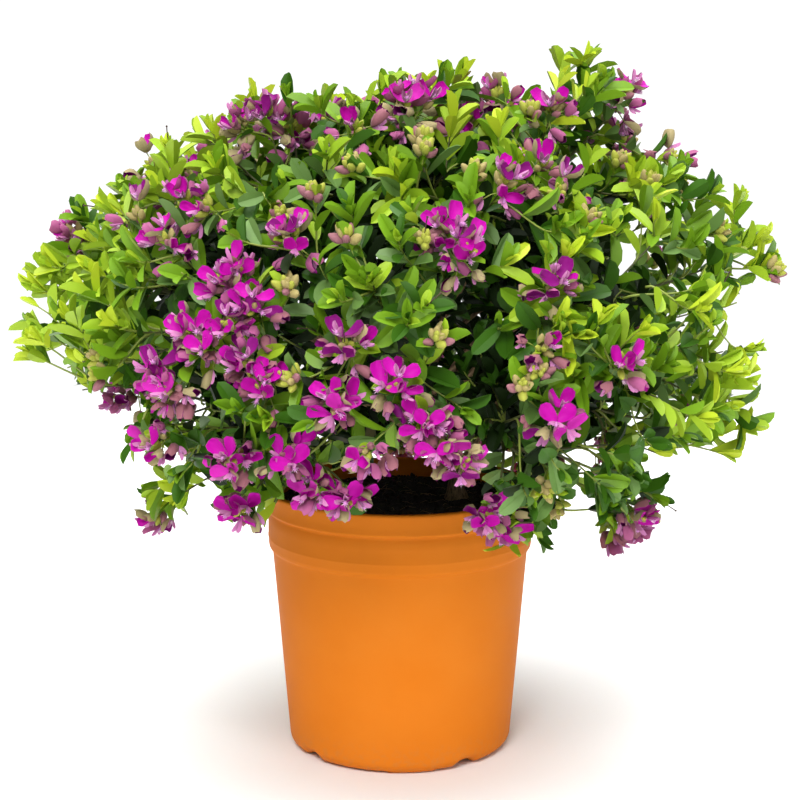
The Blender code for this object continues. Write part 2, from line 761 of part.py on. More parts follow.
def grow_mass(index, name, direction, centres, carriers, tips, home, kinds):
    """The mass's stem runs on from its bough or the trunk, and carries a twig to each of its tips."""
    grower = Grower(f"foliage_{name}", Space(index, centres, carriers), home, *kinds)
    way = carriers[index].end_direction()
    start = carriers[index].points[-1] + way * GAP
    end = crown_point(direction, STEM_END)
    stem = bent(start, way, end, (end - CENTRE).normalized(), STEM_POINTS)
    stem[1] = start + way * (stem[1] - start).length
    nearest = [np.argmin(((centres - np.array(tip)) ** 2).sum(axis=1)) for tip, _ in tips]
    own = [tip for tip, near in zip(tips, nearest) if near == index]
    own.sort(key=lambda tip: (not tip[1], -(tip[0] - end).length))
    low, high = TWIG_STARTS
    twigs = []
    for i, (tip, blooms) in enumerate(own):
        for nudge in TWIG_NUDGES:
            share = low + (high - low) * (i * GOLDEN_STEP % 1) + nudge
            share = min(max(share, TWIG_LIMITS[0]), TWIG_LIMITS[1]) * (len(stem) - 1)
            step = int(share)
            root = stem[step].lerp(stem[step + 1], share - step)
            fine = grower.add_twig(root, (stem[step + 1] - stem[step]).normalized(), tip)
            if fine:
                twigs.append((fine, blooms))
                break
    for fine, blooms in twigs:
        if blooms:
            grower.add_head(fine)
    for fine, blooms in twigs:
        for place, spread in zip(HEAD_LEAF_PLACES if blooms else LEAF_PLACES, LEAF_SPREAD):
            grower.add_leaf(fine, place, spread)
    grower.join(stem)


def main():
    clear_scene()
    home = collection_named("potted_myrtle_leaf_milkwort")
    cutters = collection_named("cutters")
    orange = material_named("orange_polypropylene", ORANGE, 0.42)
    peat = material_named("peat_compost", PEAT, 0.95)
    bark = material_named("young_bark", BARK, 0.8)
    wood = material_named("green_wood", GREEN_WOOD, 0.6)
    leaf_green = material_named("leaf_surface", LEAF_GREEN, 0.5)
    magenta = material_named("petal_surface", MAGENTA, 0.5)

    make_pot(home, cutters, orange)
    make_compost(home, peat)
    trunk = trunk_limb()
    make_limb(trunk, home, bark, 2)
    plan = mass_plan()
    boughs = [bough_limb(f"bough_{name}", way, height, trunk) for name, way, height in plan]
    for bough in boughs:
        make_limb(bough, home, bark, 1)

    masses = [*((name, way) for name, way, _ in plan), ("top", TOP)]
    centres = np.array([crown_point(way, MASS_CENTRE) for _, way in masses])
    leaf = Spray(leaf_mesh(leaf_green), leaf_samples(), LEAF, LEAF_SIZES)
    bloom = Spray(bloom_mesh(magenta), bloom_samples(), BLOOM, BLOOM_SIZES)
    tips = crown_tips()
    for index, (name, way) in enumerate(masses):
        grow_mass(index, name, way, centres, [*boughs, trunk], tips, home, (leaf, bloom, wood))


main()
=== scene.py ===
"""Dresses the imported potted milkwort: moulded pot, peat, bark, and a crown of leaves and flowers."""

import functools
import math
import random

import bmesh
import bpy
import numpy as np
from mathutils import Matrix, Vector, noise


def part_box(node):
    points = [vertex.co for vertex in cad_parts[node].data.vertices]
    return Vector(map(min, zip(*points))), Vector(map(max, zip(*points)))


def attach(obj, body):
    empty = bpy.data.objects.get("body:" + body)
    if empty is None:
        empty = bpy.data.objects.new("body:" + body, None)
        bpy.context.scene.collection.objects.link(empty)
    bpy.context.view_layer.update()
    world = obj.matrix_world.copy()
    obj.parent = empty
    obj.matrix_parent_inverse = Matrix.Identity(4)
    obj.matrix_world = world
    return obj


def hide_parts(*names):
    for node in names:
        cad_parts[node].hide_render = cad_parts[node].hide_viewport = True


bl_info = {
    "name": "Potted myrtle-leaf milkwort",
    "version": (1, 0, 0),
    "blender": (4, 5, 0),
    "location": "3D View > Sidebar > Milkwort",
    "description": "Builds a flowering milkwort shrub in a moulded nursery pot",
    "category": "Add Mesh",
}

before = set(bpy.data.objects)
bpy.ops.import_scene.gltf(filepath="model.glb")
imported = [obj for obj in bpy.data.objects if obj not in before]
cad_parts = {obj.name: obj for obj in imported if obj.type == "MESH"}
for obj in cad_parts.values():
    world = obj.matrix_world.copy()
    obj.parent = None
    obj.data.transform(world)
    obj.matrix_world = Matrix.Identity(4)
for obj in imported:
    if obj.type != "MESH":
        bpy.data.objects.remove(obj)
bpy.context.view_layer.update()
POT_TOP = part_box("pot")[1]
MASSES = sorted(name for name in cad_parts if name.startswith("foliage_"))
BOUGHS = sorted(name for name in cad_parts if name.startswith("bough_"))
GRAIN_ACROSS = "grain_across"
GRAIN_ALONG = "grain_along"
LAID_ALONG_Y = Matrix.Rotation(-math.pi / 2, 3, "X")

# Small fixed parts of the pot and its compost, in metres, and their bearings in degrees
POT_SIDES = 240
FOOT_BAND = 0.019  # how far in from its edge the foot is lifted off the ground
FOOT_GAP = 0.0008  # between the foot's edge and the ground, away from its pads
ARCH_BEARING = -53  # of the first of four drainage arches
PAD_BEARING = -84  # of the first of four pads that touch the ground
PAD_HALF = math.radians(12)
PEAT_SIDES = 180
PEAT_RINGS = 60
PEAT_EDGE = 0.0910  # radius at which the peat meets the wall
PEAT_FADE = 0.004  # from the wall, over which its lumps level out
CRUMB_EDGE = 0.089  # radius within which crumbs lie
SMALL_CRUMBS = (0.0008, 0.0016)
LARGE_CRUMBS = (0.0016, 0.0034)
SMALL_SHARE = 0.8  # of the crumbs
DRY_SHARE = 0.3
FIBRE_START = 0.086  # radius within which fibres start
FIBRE_EDGE = 0.0895  # and which they don't cross
FIBRE_LENGTHS = (0.003, 0.013)
FIBRE_RADII = (0.00009, 0.00018)
FLOOR_TOP = 0.007

# The growth rule's own values, in metres and radians: trunk and boughs
TRUNK_FOOT = Vector((0.040, 0.004, 0.1778))
TRUNK_TIP = Vector((0.004, 0.0, 0.325))
TRUNK_RISE = 0.055  # how far it heads upright at either end
BOUGH_START = 0.0075  # from the trunk's axis to where a bough bends away
BOUGH_RISE = 0.5  # how much of the trunk's direction a bough sets off with
BOUGH_END = 0.40  # share of the way from the centre to the crown's outside
GOLDEN_STEP = 0.618  # between neighbours on one limb, as a share of its length
SET_OFF = 0.30  # share of a bend's length that its first handle takes
COME_IN = 0.35  # and its last

# The crown's outside, from its centre
CENTRE = Vector((0.0, 0.0, 0.285))
CROWN_ACROSS = 0.256
CROWN_UP = 0.196
CROWN_DOWN = 0.135
LOWEST = math.radians(-40)  # elevation down to which twigs and shoots are spread
SWELL_WIDTH = math.radians(10)
SWELLS = (  # bearing and elevation in degrees, and the share by which the outside stands out there
    (0, 57, 0.20),
    (0, 17, 0.09),
    (0, -1, -0.10),
    (0, -15, 0.12),
    (0, -29, -0.16),
    (0, -44, 0.30),
    (180, 4, 0.08),
    (180, -15, -0.14),
    (180, -39, 0.22),
    (180, 60, 0.03),
    (95, 20, 0.08),
    (60, 42, 0.07),
    (130, -30, 0.12),
    (255, 10, -0.04),
)

# The masses, their stems and the shoots that they carry
TIERS = (  # elevation in degrees, number of masses, lowest and highest start of their boughs
    (-17, 6, 0.205, 0.236),
    (14, 8, 0.243, 0.281),
    (50, 5, 0.289, 0.315),
)
TOP = Vector((-0.06, -0.02, 1.0)).normalized()  # direction of the mass on the trunk's own tip
MASS_CENTRE = 0.72  # share of the way to the crown's outside
STEM_END = 0.68
TWIG_STARTS = (0.20, 0.92)  # shares of a stem between which its twigs start
TWIG_LIFT = 0.40  # by which twigs turn up at their tips, in the crown's upper half
TWIG_DROOP = 0.10  # and down, in its lower half
TIP_COUNT = 174  # directions tried for main twigs
HEAD_SPACING = math.radians(9)  # that a named head keeps from the main twigs before it
TIP_SPACING = math.radians(11.8)  # and other main twigs keep
FRONT_SPACING = math.radians(9.6)  # and those in front
TIP_SHORTEST = 0.93  # share of the way to the crown's outside
BLOOM_SHARE = 0.40  # of the main twigs away from the front
SIDEWAYS = -0.25  # directions with less than this in Y lie in front
BLOOM_INSET = 0.0216  # of a flower head's heart below the crown's outside, as in the solids
LEAF_INSET = 0.0477  # of the solids' leafy tips, by which a twig finds its mass
YOUNG_TWIGS = 0.3  # share of the leafy main twigs
GOLDEN_ANGLE = math.pi * (3 - math.sqrt(5))
SEED = 19

# How many points the limbs are drawn with
TRUNK_STEPS = 40
BOUGH_STEPS = 14
STEM_STEPS = 9
TWIG_STEPS = 13
SHOOT_STEPS = 9
TWIG_ROOTS = slice(3, 11)  # the points of a main twig that fine shoots start from

# The camera's place, and where its sight lines are followed: from and to, in steps
EYE = Vector((0.0, -1.454, 0.516))
SIGHT = (1.1, 1.7)
SIGHT_STEPS = 240


def from_mm(*rows):
    """Rows of millimetres as rows of metres."""
    return tuple(tuple(value / 1000 for value in row) for row in rows)


# Places in front, in millimetres across and up on the upright plane through the pot's axis

# Where flower heads show
FRONT_HEADS = from_mm(
    (-94, 450), (-163, 362), (-77, 366), (-111, 341), (-103, 315), (-146, 298), (-107, 275),
    (-163, 257), (-172, 219), (-172, 165), (-119, 205), (-80, 207), (-113, 170), (-38, 288), (-3, 260),
    (-46, 246), (18, 231), (44, 203), (3, 456), (72, 402), (45, 357), (107, 332), (106, 453),
    (155, 464), (112, 235), (158, 274), (73, 158), (166, 158), (-151, 391), (-39, 177), (-228, 368),
)

# Heads that stand too near a named one for a main twig of their own
NEAR_HEADS = from_mm(
    (155, 151), (174, 161), (-124, 332), (-120, 302), (-136, 288), (28, 217), (-60, 185), (-111, 442),
    (15, 458), (-171, 269), (-97, 260), (61, 166), (31, 370),
)

# Where heads show whose flowers have closed
CLOSED_HEADS = from_mm(
    (100, 285), (-30, 440), (-182, 379), (-23, 212), (97, 414), (-135, 385), (111, 396), (-171, 414),
    (186, 420),
)

# Where clusters of closed buds show
FRONT_BUDS = from_mm(
    (-117, 351), (-60, 395), (98, 268), (176, 149), (-164, 149), (17, 424), (-34, 414), (-38, 365),
    (-77, 263), (26, 293), (17, 362), (132, 376), (173, 403), (222, 369), (264, 341), (-103, 451),
    (200, 427), (103, 184), (55, 470), (-212, 266), (86, 258), (55, 466),
)

# Where young shoots with lime-green leaves show
FRONT_YOUNG = from_mm(
    (126, 489), (-256, 292), (-251, 327), (140, 306), (69, 441), (232, 270), (247, 227), (235, 390),
    (210, 313), (-7, 451), (-158, 424), (-194, 383), (100, 133), (150, 140), (212, 235), (-214, 276),
    (110, 472), (250, 362), (170, 300), (-215, 340), (242, 263), (251, 229), (244, 212), (230, 209),
    (44, 476), (58, 474), (-259, 281), (-244, 344), (160, 142), (122, 295), (112, 304), (244, 285),
    (256, 346), (-205, 383), (-253, 339), (-254, 316), (80, 142), (-220, 327), (-204, 304), (-233, 307),
    (128, 367), (117, 351), (-69, 414), (127, 466),
)

# Where rosettes of full-grown leaves show, in darker greens that are partly painted shade
FRONT_ROSETTES = from_mm(
    (-35, 385), (8, 380), (43, 379), (111, 370), (128, 360), (-114, 365), (-117, 320), (-43, 320),
    (6, 304), (17, 314), (111, 296), (133, 296), (-113, 240), (-93, 235), (-62, 230), (152, 236),
    (203, 358), (232, 367), (-117, 442), (168, 453), (165, 461), (141, 470), (218, 395), (195, 412),
    (218, 302), (138, 178), (145, 185), (48, 473), (259, 334), (100, 147), (106, 136), (-184, 348),
    (-194, 332), (137, 464), (-138, 334), (182, 178), (152, 166), (33, 469), (261, 227), (-220, 380),
    (-152, 198), (-143, 184), (-157, 209), (186, 168), (-177, 198), (-56, 455), (-117, 355), (-13, 320),
    (141, 226), (169, 229), (159, 206), (178, 216), (166, 194), (140, 196), (123, 216), (113, 198),
    (48, 390), (151, 177), (182, 177), (-49, 299), (114, 177), (91, 177), (209, 330), (220, 325),
    (-238, 311), (-77, 460), (-119, 448), (152, 379), (147, 370), (177, 367), (145, 177), (-157, 198),
    (-177, 207), (-110, 359), (-1, 362), (-148, 171), (130, 229), (-163, 190),
)

# Gaps that show the sky: middle across and up, half width and half height
GAPS = from_mm(
    (117, 208, 10, 8), (127, 160, 10, 18), (8, 190, 24, 23), (38, 178, 14, 12), (42, 214.5, 4, 5),
    (55, 213, 5, 5), (-201, 242, 19, 14), (236, 307, 6, 15), (-250, 311, 6, 8), (-237, 280, 8, 7),
    (259, 322, 12, 8), (-100, 488, 20, 12), (-199, 444, 16, 12), (-160, 466, 16, 10),
    (-50, 480, 22, 10), (84, 472, 12, 10), (-152, 247, 5, 7), (164, 369, 7, 6), (154, 356, 7, 5),
    (154, 340, 6, 5), (154, 325, 3, 5), (182, 377, 2, 6), (204, 384, 3, 3), (197, 305, 4, 6),
    (188, 303, 5, 4), (165, 297, 3, 4), (207, 284, 2, 6), (188, 249, 6, 3), (147, 244, 7, 4),
    (140, 222, 6, 8), (124, 209, 11, 8), (-146, 211, 4, 3), (-140, 196, 3, 3), (-146, 182, 5, 4),
    (-133, 184, 5, 8), (59, 213, 5, 5), (80, 213, 4, 5), (29, 281, 3, 4), (-147, 250, 4, 8),
    (-136, 240, 8, 5), (-152, 232, 4, 4), (-51, 229, 8, 7), (-155, 205, 7, 5), (-115, 230, 4, 3),
    (-165, 184, 6, 3), (-246, 252, 20, 22), (-215, 224, 19, 16), (-209, 195, 20, 9), (-180, 196, 9, 4),
    (190, 205, 16, 6), (230, 289, 10, 6), (82, 474, 11, 9), (-79, 424, 4, 3), (-51, 346, 4, 3),
    (181, 203, 8, 6), (215, 210, 8, 6), (-138, 152, 8, 8), (-203, 245, 21, 10), (235, 346, 4, 6),
    (-29, 470, 11, 6), (-60, 474, 8, 6), (130, 505, 14, 6), (209, 427, 6, 10), (248, 307, 7, 8),
    (97, 492, 6, 10), (-198, 255, 6, 6), (-154, 152, 8, 9), (167, 439, 8, 4), (111, 492, 4, 8),
    (126, 181, 4, 6), (168, 234, 4, 4), (201, 185, 11, 8), (132, 177, 4, 6),
)

# In front of the pot, from one place across to another, foliage hangs no lower than this, in metres
LIP_CLEAR = (-0.088, 0.052, 0.165)

# Hollows, where only shaded foliage shows: middle across and up, half width and half height
HOLLOWS = from_mm(
    (53, 318, 15, 30), (-110, 263, 34, 7), (-81, 296, 8, 20), (-72, 325, 7, 14), (-171, 314, 10, 9),
    (143, 397, 10, 17), (114, 409, 7, 13), (24, 402, 7, 11), (190, 339, 18, 16), (135, 206, 8, 18),
    (-44, 198, 22, 9), (62, 262, 14, 11), (-73, 425, 18, 14), (-17, 345, 11, 7), (86, 430, 8, 9),
    (-100, 405, 10, 10), (160, 232, 14, 9), (-148, 345, 10, 6), (75, 240, 9, 15), (75, 203, 8, 10),
    (-67, 356, 14, 11), (-167, 324, 11, 8), (66, 380, 14, 7), (90, 373, 10, 7), (123, 409, 13, 9),
    (160, 349, 11, 11), (171, 330, 8, 11), (-91, 263, 17, 7), (70, 246, 15, 6), (-17, 240, 8, 4),
    (28, 253, 14, 6), (-71, 181, 21, 8), (-38, 201, 13, 6), (85, 204, 13, 6), (206, 239, 8, 5),
    (35, 300, 6, 10), (22, 399, 10, 6), (-15, 317, 6, 10), (219, 325, 6, 8), (-113, 412, 8, 6),
    (-42, 255, 10, 5), (67, 366, 8, 8), (-121, 260, 11, 6), (22, 267, 8, 6), (-133, 224, 10, 4),
    (49, 320, 10, 15), (-97, 252, 11, 5), (141, 216, 10, 6), (-170, 334, 10, 7), (-8, 201, 10, 4),
    (-57, 206, 7, 5), (122, 320, 7, 6), (35, 252, 10, 6), (-108, 288, 7, 4), (-169, 238, 7, 5),
    (-66, 438, 7, 4), (-103, 424, 7, 6), (-3, 424, 6, 6), (73, 320, 7, 10), (50, 292, 8, 7),
    (-67, 334, 8, 8), (45, 285, 6, 11), (183, 260, 8, 6), (17, 405, 8, 6),
)
HOLLOW_DEPTH = 0.085

# The low opening in front, through which the compost and the trunk's foot show
WINDOW_ACROSS = (-0.016, 0.050)
WINDOW_TOP = 0.192
WINDOW_SLOPE = 0.27
POT_ACROSS = 0.095  # radius that foliage keeps out of, up to the next height
POT_UP = 0.188
POT_MARGIN = 0.003

# How the finer twigs grow on
HEAD_DEPTH = 0.013  # of a named flower head's heart below the crown's outside
SHOOT_DEPTH = 0.012  # of the tip of a leafy shoot
NAMED_DEPTH = 0.005  # of the tip of a named one
PAST_OUTSIDE = 0.004  # the furthest that any of them is moved out to meet its sight line
HEAD_BARE = 0.008  # leafless length under an open head
CLOSED_BARE = 0.006
BUDS_BARE = 0.004
SAME_HEAD = 0.004  # a named head this near a main twig's own head is that one
SHOOT_SPACING = math.radians(4.6)  # that fine shoots keep from named ones in front
OUTER_SHARE = 0.45  # of the fine shoots that reach the crown's outside
OUTER_REACH = (0.93, 1.0)  # shares of the way to the crown's outside
UNDER_REACH = (0.74, 0.90)
INNER_REACH = (0.52, 0.70)
HEAD_LUCK = 0.10  # up to which an outer shoot away from the front carries a flower head
BUDS_LUCK = 0.16  # and any outer shoot carries buds
YOUNG_LUCK = 0.38  # and it carries young leaves
MATURE_AND_SHADED_BELOW = 0.37  # height under which leafy shoots in front carry full-grown leaves, whose darker greens are partly painted shade of the crown's lower front
ROSETTES_SHADED = 0.235  # height under which rosettes lie in the crown's shade, painted into their leaves as darker greens
YOUNG_EDGE = -0.72  # lime shoots stand no nearer the middle of the front than this
YOUNG_EDGE_LOW = -0.45  # and, under MATURE_AND_SHADED_BELOW, than this
SHORT_SHOOT = 0.022  # shoots shorter than this count as SHORT_COST longer when roots are chosen
SHORT_COST = 0.05
TURNING_COST = 0.035  # that a sharp turn adds in the same way
CROWDED_COST = 0.010  # and each shoot that already starts there

# How shoots carry their leaves
FIRST_LEAF = 0.0012  # from a tip
FIRST_STEP = 0.0015  # between the two leaves nearest a tip
STEP_GROWTH = 1.17
LAST_STEP = 0.0056
LEAFY_LENGTH = 0.072  # of a shoot's outer end, where its leaves haven't fallen
LEAFY_SHARE = 0.88  # and at most this much of the shoot
ROSETTE = 0.010  # from a tip, within which leaves open out and reach their full size
FULL_AGE = 0.050  # from a tip, where leaves are at their widest
MOST_REACH = 1.05  # leaves that end further out, as a share of the crown's outside, are left out
TURN_SCATTER = 0.3  # of a leaf's place round its shoot, in radians
LEAF_SPREAD = (12, 38, 18, 10)  # degrees off the shoot: closed, what opening and age add, scatter
UNDERSIDE = -0.15  # places whose direction from the centre has less than this in Z hang under the crown
LIGHT_LIFT = 0.20  # by which leaves turn up to the light
UNDER_LIFT = -0.05  # and those on the underside down
FACE_TIP = 1.1  # how strongly a leaf's face turns to the shoot's tip
FACE_UP = 0.45  # and up, outwards and at random
FACE_OUT = 0.35
FACE_SCATTER = 0.34
SMALLEST = 0.40  # a closed leaf's size, as a share of a full-grown one
SMALLEST_AT_HEAD = 0.6
LENGTHS = (0.74, 1.22)  # between which leaves vary
WIDTHS = (0.86, 1.16)
WIDTH_YOUNG = 0.86  # at a tip, as a share of a full-grown leaf's
WIDTH_AGEING = 0.20  # that full age adds to it
LEAF_MIDDLE = 0.55  # along a leaf, where it's widest
LEAF_FORMS = (  # fold, curl and taper
    (0.34, 0.10, 1.0),
    (0.22, 0.18, 0.88),
    (0.46, -0.08, 1.25),
)
FOLDED = 2  # the form of most young leaves
FOLDED_SHARE = 0.6
FEWEST_LEFT = 0.5  # share of its leaves that a shoot without a flower head keeps, or it's left out
STYLE_EVERY = 17  # shoots, for one with an old style at its tip
ZONE_ENDS = (0.012, 0.036)  # from a tip, where its outer and its middle leaves end
WIDTH_BY_KIND = {"young": 0.90, "low": 1.16, "shaded": 1.16}
HEAD_ROOM = {"head": 0.017, "closed": 0.013, "buds": 0.009}  # radius kept free of other shoots' leaves
HEART_AHEAD = 0.004  # of the shoot's tip
FRONT_HALF = -0.05  # heads with a lower Y are kept free along the camera's sight lines too

# Flowers: angles in degrees when just open, what full age adds, and the scatter
WING_SIDE = (52, -40, 14)
WING_YAW = (22, 56, 12)
WING_PITCH = (12, 52, 12)
KEEL_DROOP = (98, 12, 8)
PETAL_BEND = (52, 34, 14)
FLOWER_POLAR = (30, 80, 8)  # off the head's axis, from its top flower to its lowest
BUD_POLAR = (4, 50, 7)
FLOWER_STEP = 0.0022  # along the axis, between two flowers
TUFT_ACROSS = 0.0052
PETAL_LENGTH = 0.0105
PETAL_WIDTH = 0.0034
STALK_RADIUS = 0.00042
BUD_STALK_RADIUS = 0.00035

# What leaves are coloured
LEAFY_KINDS = ("young", "leafy", "mature_and_shaded", "shaded", "low")  # of shoots that hollows have no room for
COLOUR_MIX = {  # leaf colours by what the shoot is, for its outer, middle and inner leaves; the dark green, and much of the deep green, in the shaded, low and inner mixes is painted shade
    "young": (
        {"lime": 7, "bright": 3},
        {"bright": 7, "lime": 1, "mid": 2},
        {"mid": 5, "bright": 3, "deep": 2},
    ),
    "leafy": (
        {"bright": 5, "lime": 1, "mid": 4},
        {"mid": 5, "bright": 2, "grey": 2, "deep": 1},
        {"deep": 4, "mid": 3, "grey": 3},
    ),
    # Full-grown leaves: cooler greens of their own, darkened in part as painted shade
    "mature_and_shaded": (
        {"mid": 6, "bright": 2, "deep": 2},
        {"mid": 3, "deep": 5, "grey": 2},
        {"deep": 5, "grey": 3, "dark": 2},
    ),
    "shaded": (
        {"deep": 5, "mid": 3, "grey": 2},
        {"deep": 6, "grey": 2, "dark": 2},
        {"dark": 5, "deep": 5},
    ),
    "low": (
        {"mid": 5, "bright": 2, "deep": 3},
        {"deep": 5, "mid": 3, "grey": 2},
        {"dark": 5, "deep": 5},
    ),
    "inner": (
        {"deep": 4, "dark": 6},
        {"dark": 8, "deep": 2},
        {"dark": 1},
    ),
}


def linear(code):
    """The linear colour that Blender takes, from an sRGB hex value."""
    values = [int(code[i : i + 2], 16) / 255 for i in (1, 3, 5)]
    return (*(v / 12.92 if v <= 0.04045 else ((v + 0.055) / 1.055) ** 2.4 for v in values), 1.0)


def metres(name, description, default):
    """A setting that is a length."""
    return bpy.props.FloatProperty(
        name=name, description=description, default=default, min=0.0, unit="LENGTH", precision=4
    )


def colour(name, description, code):
    """A setting that is a colour, from its sRGB hex value."""
    return bpy.props.FloatVectorProperty(
        name=name, description=description, default=linear(code), size=4, min=0.0, max=1.0, subtype="COLOR"
    )


def count(name, description, default):
    """A setting that is a number of things."""
    return bpy.props.IntProperty(name=name, description=description, default=default, min=1)


class PotSettings(bpy.types.PropertyGroup):
    """The moulded nursery pot."""

    rim_radius: metres("Rim radius", "Outer radius over the lip", 0.095)
    height: metres("Height", "From the ground to the top of the lip", POT_TOP.z)
    lip_depth: metres("Lip depth", "How far down the lip reaches", 0.0154)
    lip_thickness: metres("Lip thickness", "Of the lip at its top", 0.0038)
    collar_depth: metres("Collar depth", "From the lip's top to the collar's lower edge", 0.0447)
    collar_radius: metres("Collar radius", "Outer radius of the collar", 0.0935)
    shoulder_radius: metres("Shoulder radius", "Where the tapered body starts", 0.0905)
    foot_radius: metres("Foot radius", "Where the body's taper would meet the ground", 0.0785)
    foot_round: metres("Foot rounding", "Radius of the rounded foot", 0.009)
    wall: metres("Wall", "Thickness of the moulded wall", 0.0022)
    arch_width: metres("Arch width", "Of each drainage arch at the foot", 0.023)
    arch_height: metres("Arch height", "Of each drainage arch at the foot", 0.005)
    plastic: colour("Plastic", "Main colour of the polypropylene", "#ce751f")
    shaded: colour("Shaded plastic", "Its darker cloudy parts", "#c96c13")
    dust: colour("Dust", "Dry compost dust towards the foot", "#b67d49")


class CompostSettings(bpy.types.PropertyGroup):
    """The peat that fills the pot."""

    level: metres("Level", "Height of the compost in the middle", 0.1775)
    sink: metres("Sink", "How much lower it lies at the wall", 0.0035)
    roughness: metres("Roughness", "Height of its lumps", 0.0022)
    crumbs: count("Crumbs", "Loose crumbs on its surface", 1500)
    fibres: count("Fibres", "Peat fibres on its surface", 150)
    peat: colour("Peat", "Damp peat", "#170e07")
    dry: colour("Dry peat", "Drier, paler parts", "#311f11")
    fibre: colour("Fibre", "Dry fibres", "#81674c")


class WoodSettings(bpy.types.PropertyGroup):
    """Trunk, boughs and twigs."""

    trunk_radius: metres("Trunk radius", "Above the root flare", 0.0052)
    trunk_tip_radius: metres("Trunk tip radius", "Where its stem runs on", 0.0026)
    flare_radius: metres("Flare radius", "At the compost", 0.0088)
    flare_height: metres("Flare height", "How far up the flare reaches", 0.016)
    bough_radius: metres("Bough radius", "Where boughs leave the trunk", 0.0023)
    stem_radius: metres("Stem radius", "Where boughs enter the crown", 0.0016)
    twig_radius: metres("Twig radius", "Of the main twigs at their start", 0.0012)
    shoot_radius: metres("Shoot radius", "Of the fine shoots at their start", 0.0009)
    tip_radius: metres("Tip radius", "Of every shoot at its tip", 0.0005)
    relief: metres("Relief", "Depth of the furrows in the bark", 0.0004)
    bark: colour("Bark", "Dry young bark", "#937959")
    furrow: colour("Furrow", "Between the ridges of the bark", "#4c3926")
    twig: colour("Twig", "Older green twigs", "#484c24")
    shoot: colour("Shoot", "This year's shoots", "#7e8c3a")


class CrownSettings(bpy.types.PropertyGroup):
    """How densely the crown is grown."""

    shoots: count("Shoots", "Fine shoots spread over the crown's outside", 860)
    inner_shoots: count("Inner shoots", "Shaded shoots inside the crown", 400)
    leaf_length: metres("Leaf length", "Of a full-grown leaf", 0.0242)
    leaf_width: metres("Leaf width", "Of a full-grown leaf", 0.0106)
    lime: colour("Lime leaf", "Youngest leaves", "#adc12a")
    bright: colour("Bright leaf", "Leaves just grown", "#95b329")
    mid: colour("Green leaf", "Most leaves", "#6a9117")
    # The deep green is partly older leaves' own colour and partly painted shade inside the crown.
    deep: colour("Deep green leaf", "Older leaves", "#335c0c")
    # The dark green is painted shade, for leaves inside the crown and low in front.
    dark: colour("Dark leaf", "Shaded leaves", "#142605")
    # The greyish green is partly a bloom on older leaves and partly painted sheen.
    grey: colour("Greyish leaf", "Older leaves with a bloom", "#5f7f3e")


class FlowerSettings(bpy.types.PropertyGroup):
    """Flower heads and buds."""

    wing_length: metres("Wing length", "Of the two broad petal-like sepals", 0.0148)
    wing_width: metres("Wing width", "Of the same", 0.0098)
    keel_length: metres("Keel length", "Of the boat-shaped lower petal", 0.0074)
    stalk: metres("Stalk", "From the head's axis to a flower", 0.0080)
    bud_length: metres("Bud length", "Of a bud about to open", 0.0105)
    magenta: colour("Magenta", "Inner side of the wings", "#b4009a")
    rose: colour("Rose", "Inner side of wings that have just opened", "#be26a3")
    # The violet is partly older wings' own colour and partly painted shade on a share of the open flowers.
    violet: colour("Violet", "Inner side of older wings", "#800871")
    back: colour("Wing back", "Outer side of the wings", "#9c507a")
    faded: colour("Faded back", "Outer side of older wings", "#8e5963")
    olive: colour("Greenish back", "Outer side of wings that have just opened", "#9a8d65")
    keel: colour("Keel", "Lower petal", "#b97bb3")
    tuft: colour("Tuft", "Fringe at the keel's end", "#dfc3d6")
    petal: colour("Upper petal", "Two narrow petals between the wings", "#bd79a9")
    bud_green: colour("Green bud", "Closed buds", "#9a9e3e")
    bud_straw: colour("Straw bud", "Buds that turn", "#9b8d59")
    bud_pink: colour("Pink bud", "Buds about to open", "#906068")
    thread: colour("Thread", "Dry styles left at old tips", "#3e2a21")


class StageSettings(bpy.types.PropertyGroup):
    """Floor, light and camera."""

    lens: bpy.props.FloatProperty(
        name="Lens", description="Focal length on a 36 mm sensor", default=94.5, min=1.0, unit="CAMERA"
    )
    tilt: bpy.props.FloatProperty(
        name="Tilt", description="How far the camera looks down", default=math.radians(10.41), subtype="ANGLE"
    )
    floor: colour("Floor", "Matt studio floor", "#fbfbfa")
    walls: bpy.props.FloatProperty(
        name="Walls", description="Strength of the white surround near the ground", default=1.1, min=0.0
    )
    ceiling: bpy.props.FloatProperty(
        name="Ceiling", description="Strength of the surround overhead", default=0.22, min=0.0
    )


# Materials


def add_node(tree, kind, settings=(), inputs=()):
    """Adds a node, sets its fields, and sets or links its inputs."""
    node = tree.nodes.new(kind)
    for field, value in dict(settings).items():
        setattr(node, field, value)
    for socket, value in dict(inputs).items():
        if isinstance(value, bpy.types.NodeSocket):
            tree.links.new(value, node.inputs[socket])
        else:
            node.inputs[socket].default_value = value
    return node


def pattern(tree, place, scale, detail, settings=(), more=()):
    """A noise over a place in metres. Its patches measure one over its scale."""
    inputs = {"Vector": place, "Scale": scale, "Detail": detail, **dict(more)}
    return add_node(tree, "ShaderNodeTexNoise", settings, inputs).outputs["Fac"]


def remapped(tree, value, first, last, low=0.0, high=1.0, settings=()):
    """A value's range from first to last, laid over low to high."""
    inputs = {"Value": value, "From Min": first, "From Max": last, "To Min": low, "To Max": high}
    return add_node(tree, "ShaderNodeMapRange", settings, inputs).outputs["Result"]


def product(tree, first, second):
    """One value times another."""
    return add_node(tree, "ShaderNodeMath", {"operation": "MULTIPLY"}, {0: first, 1: second}).outputs[0]


def blended(tree, share, first, second):
    """The first colour, with a share of the second."""
    inputs = {0: share, 6: first, 7: second}
    return add_node(tree, "ShaderNodeMix", {"data_type": "RGBA"}, inputs).outputs[2]


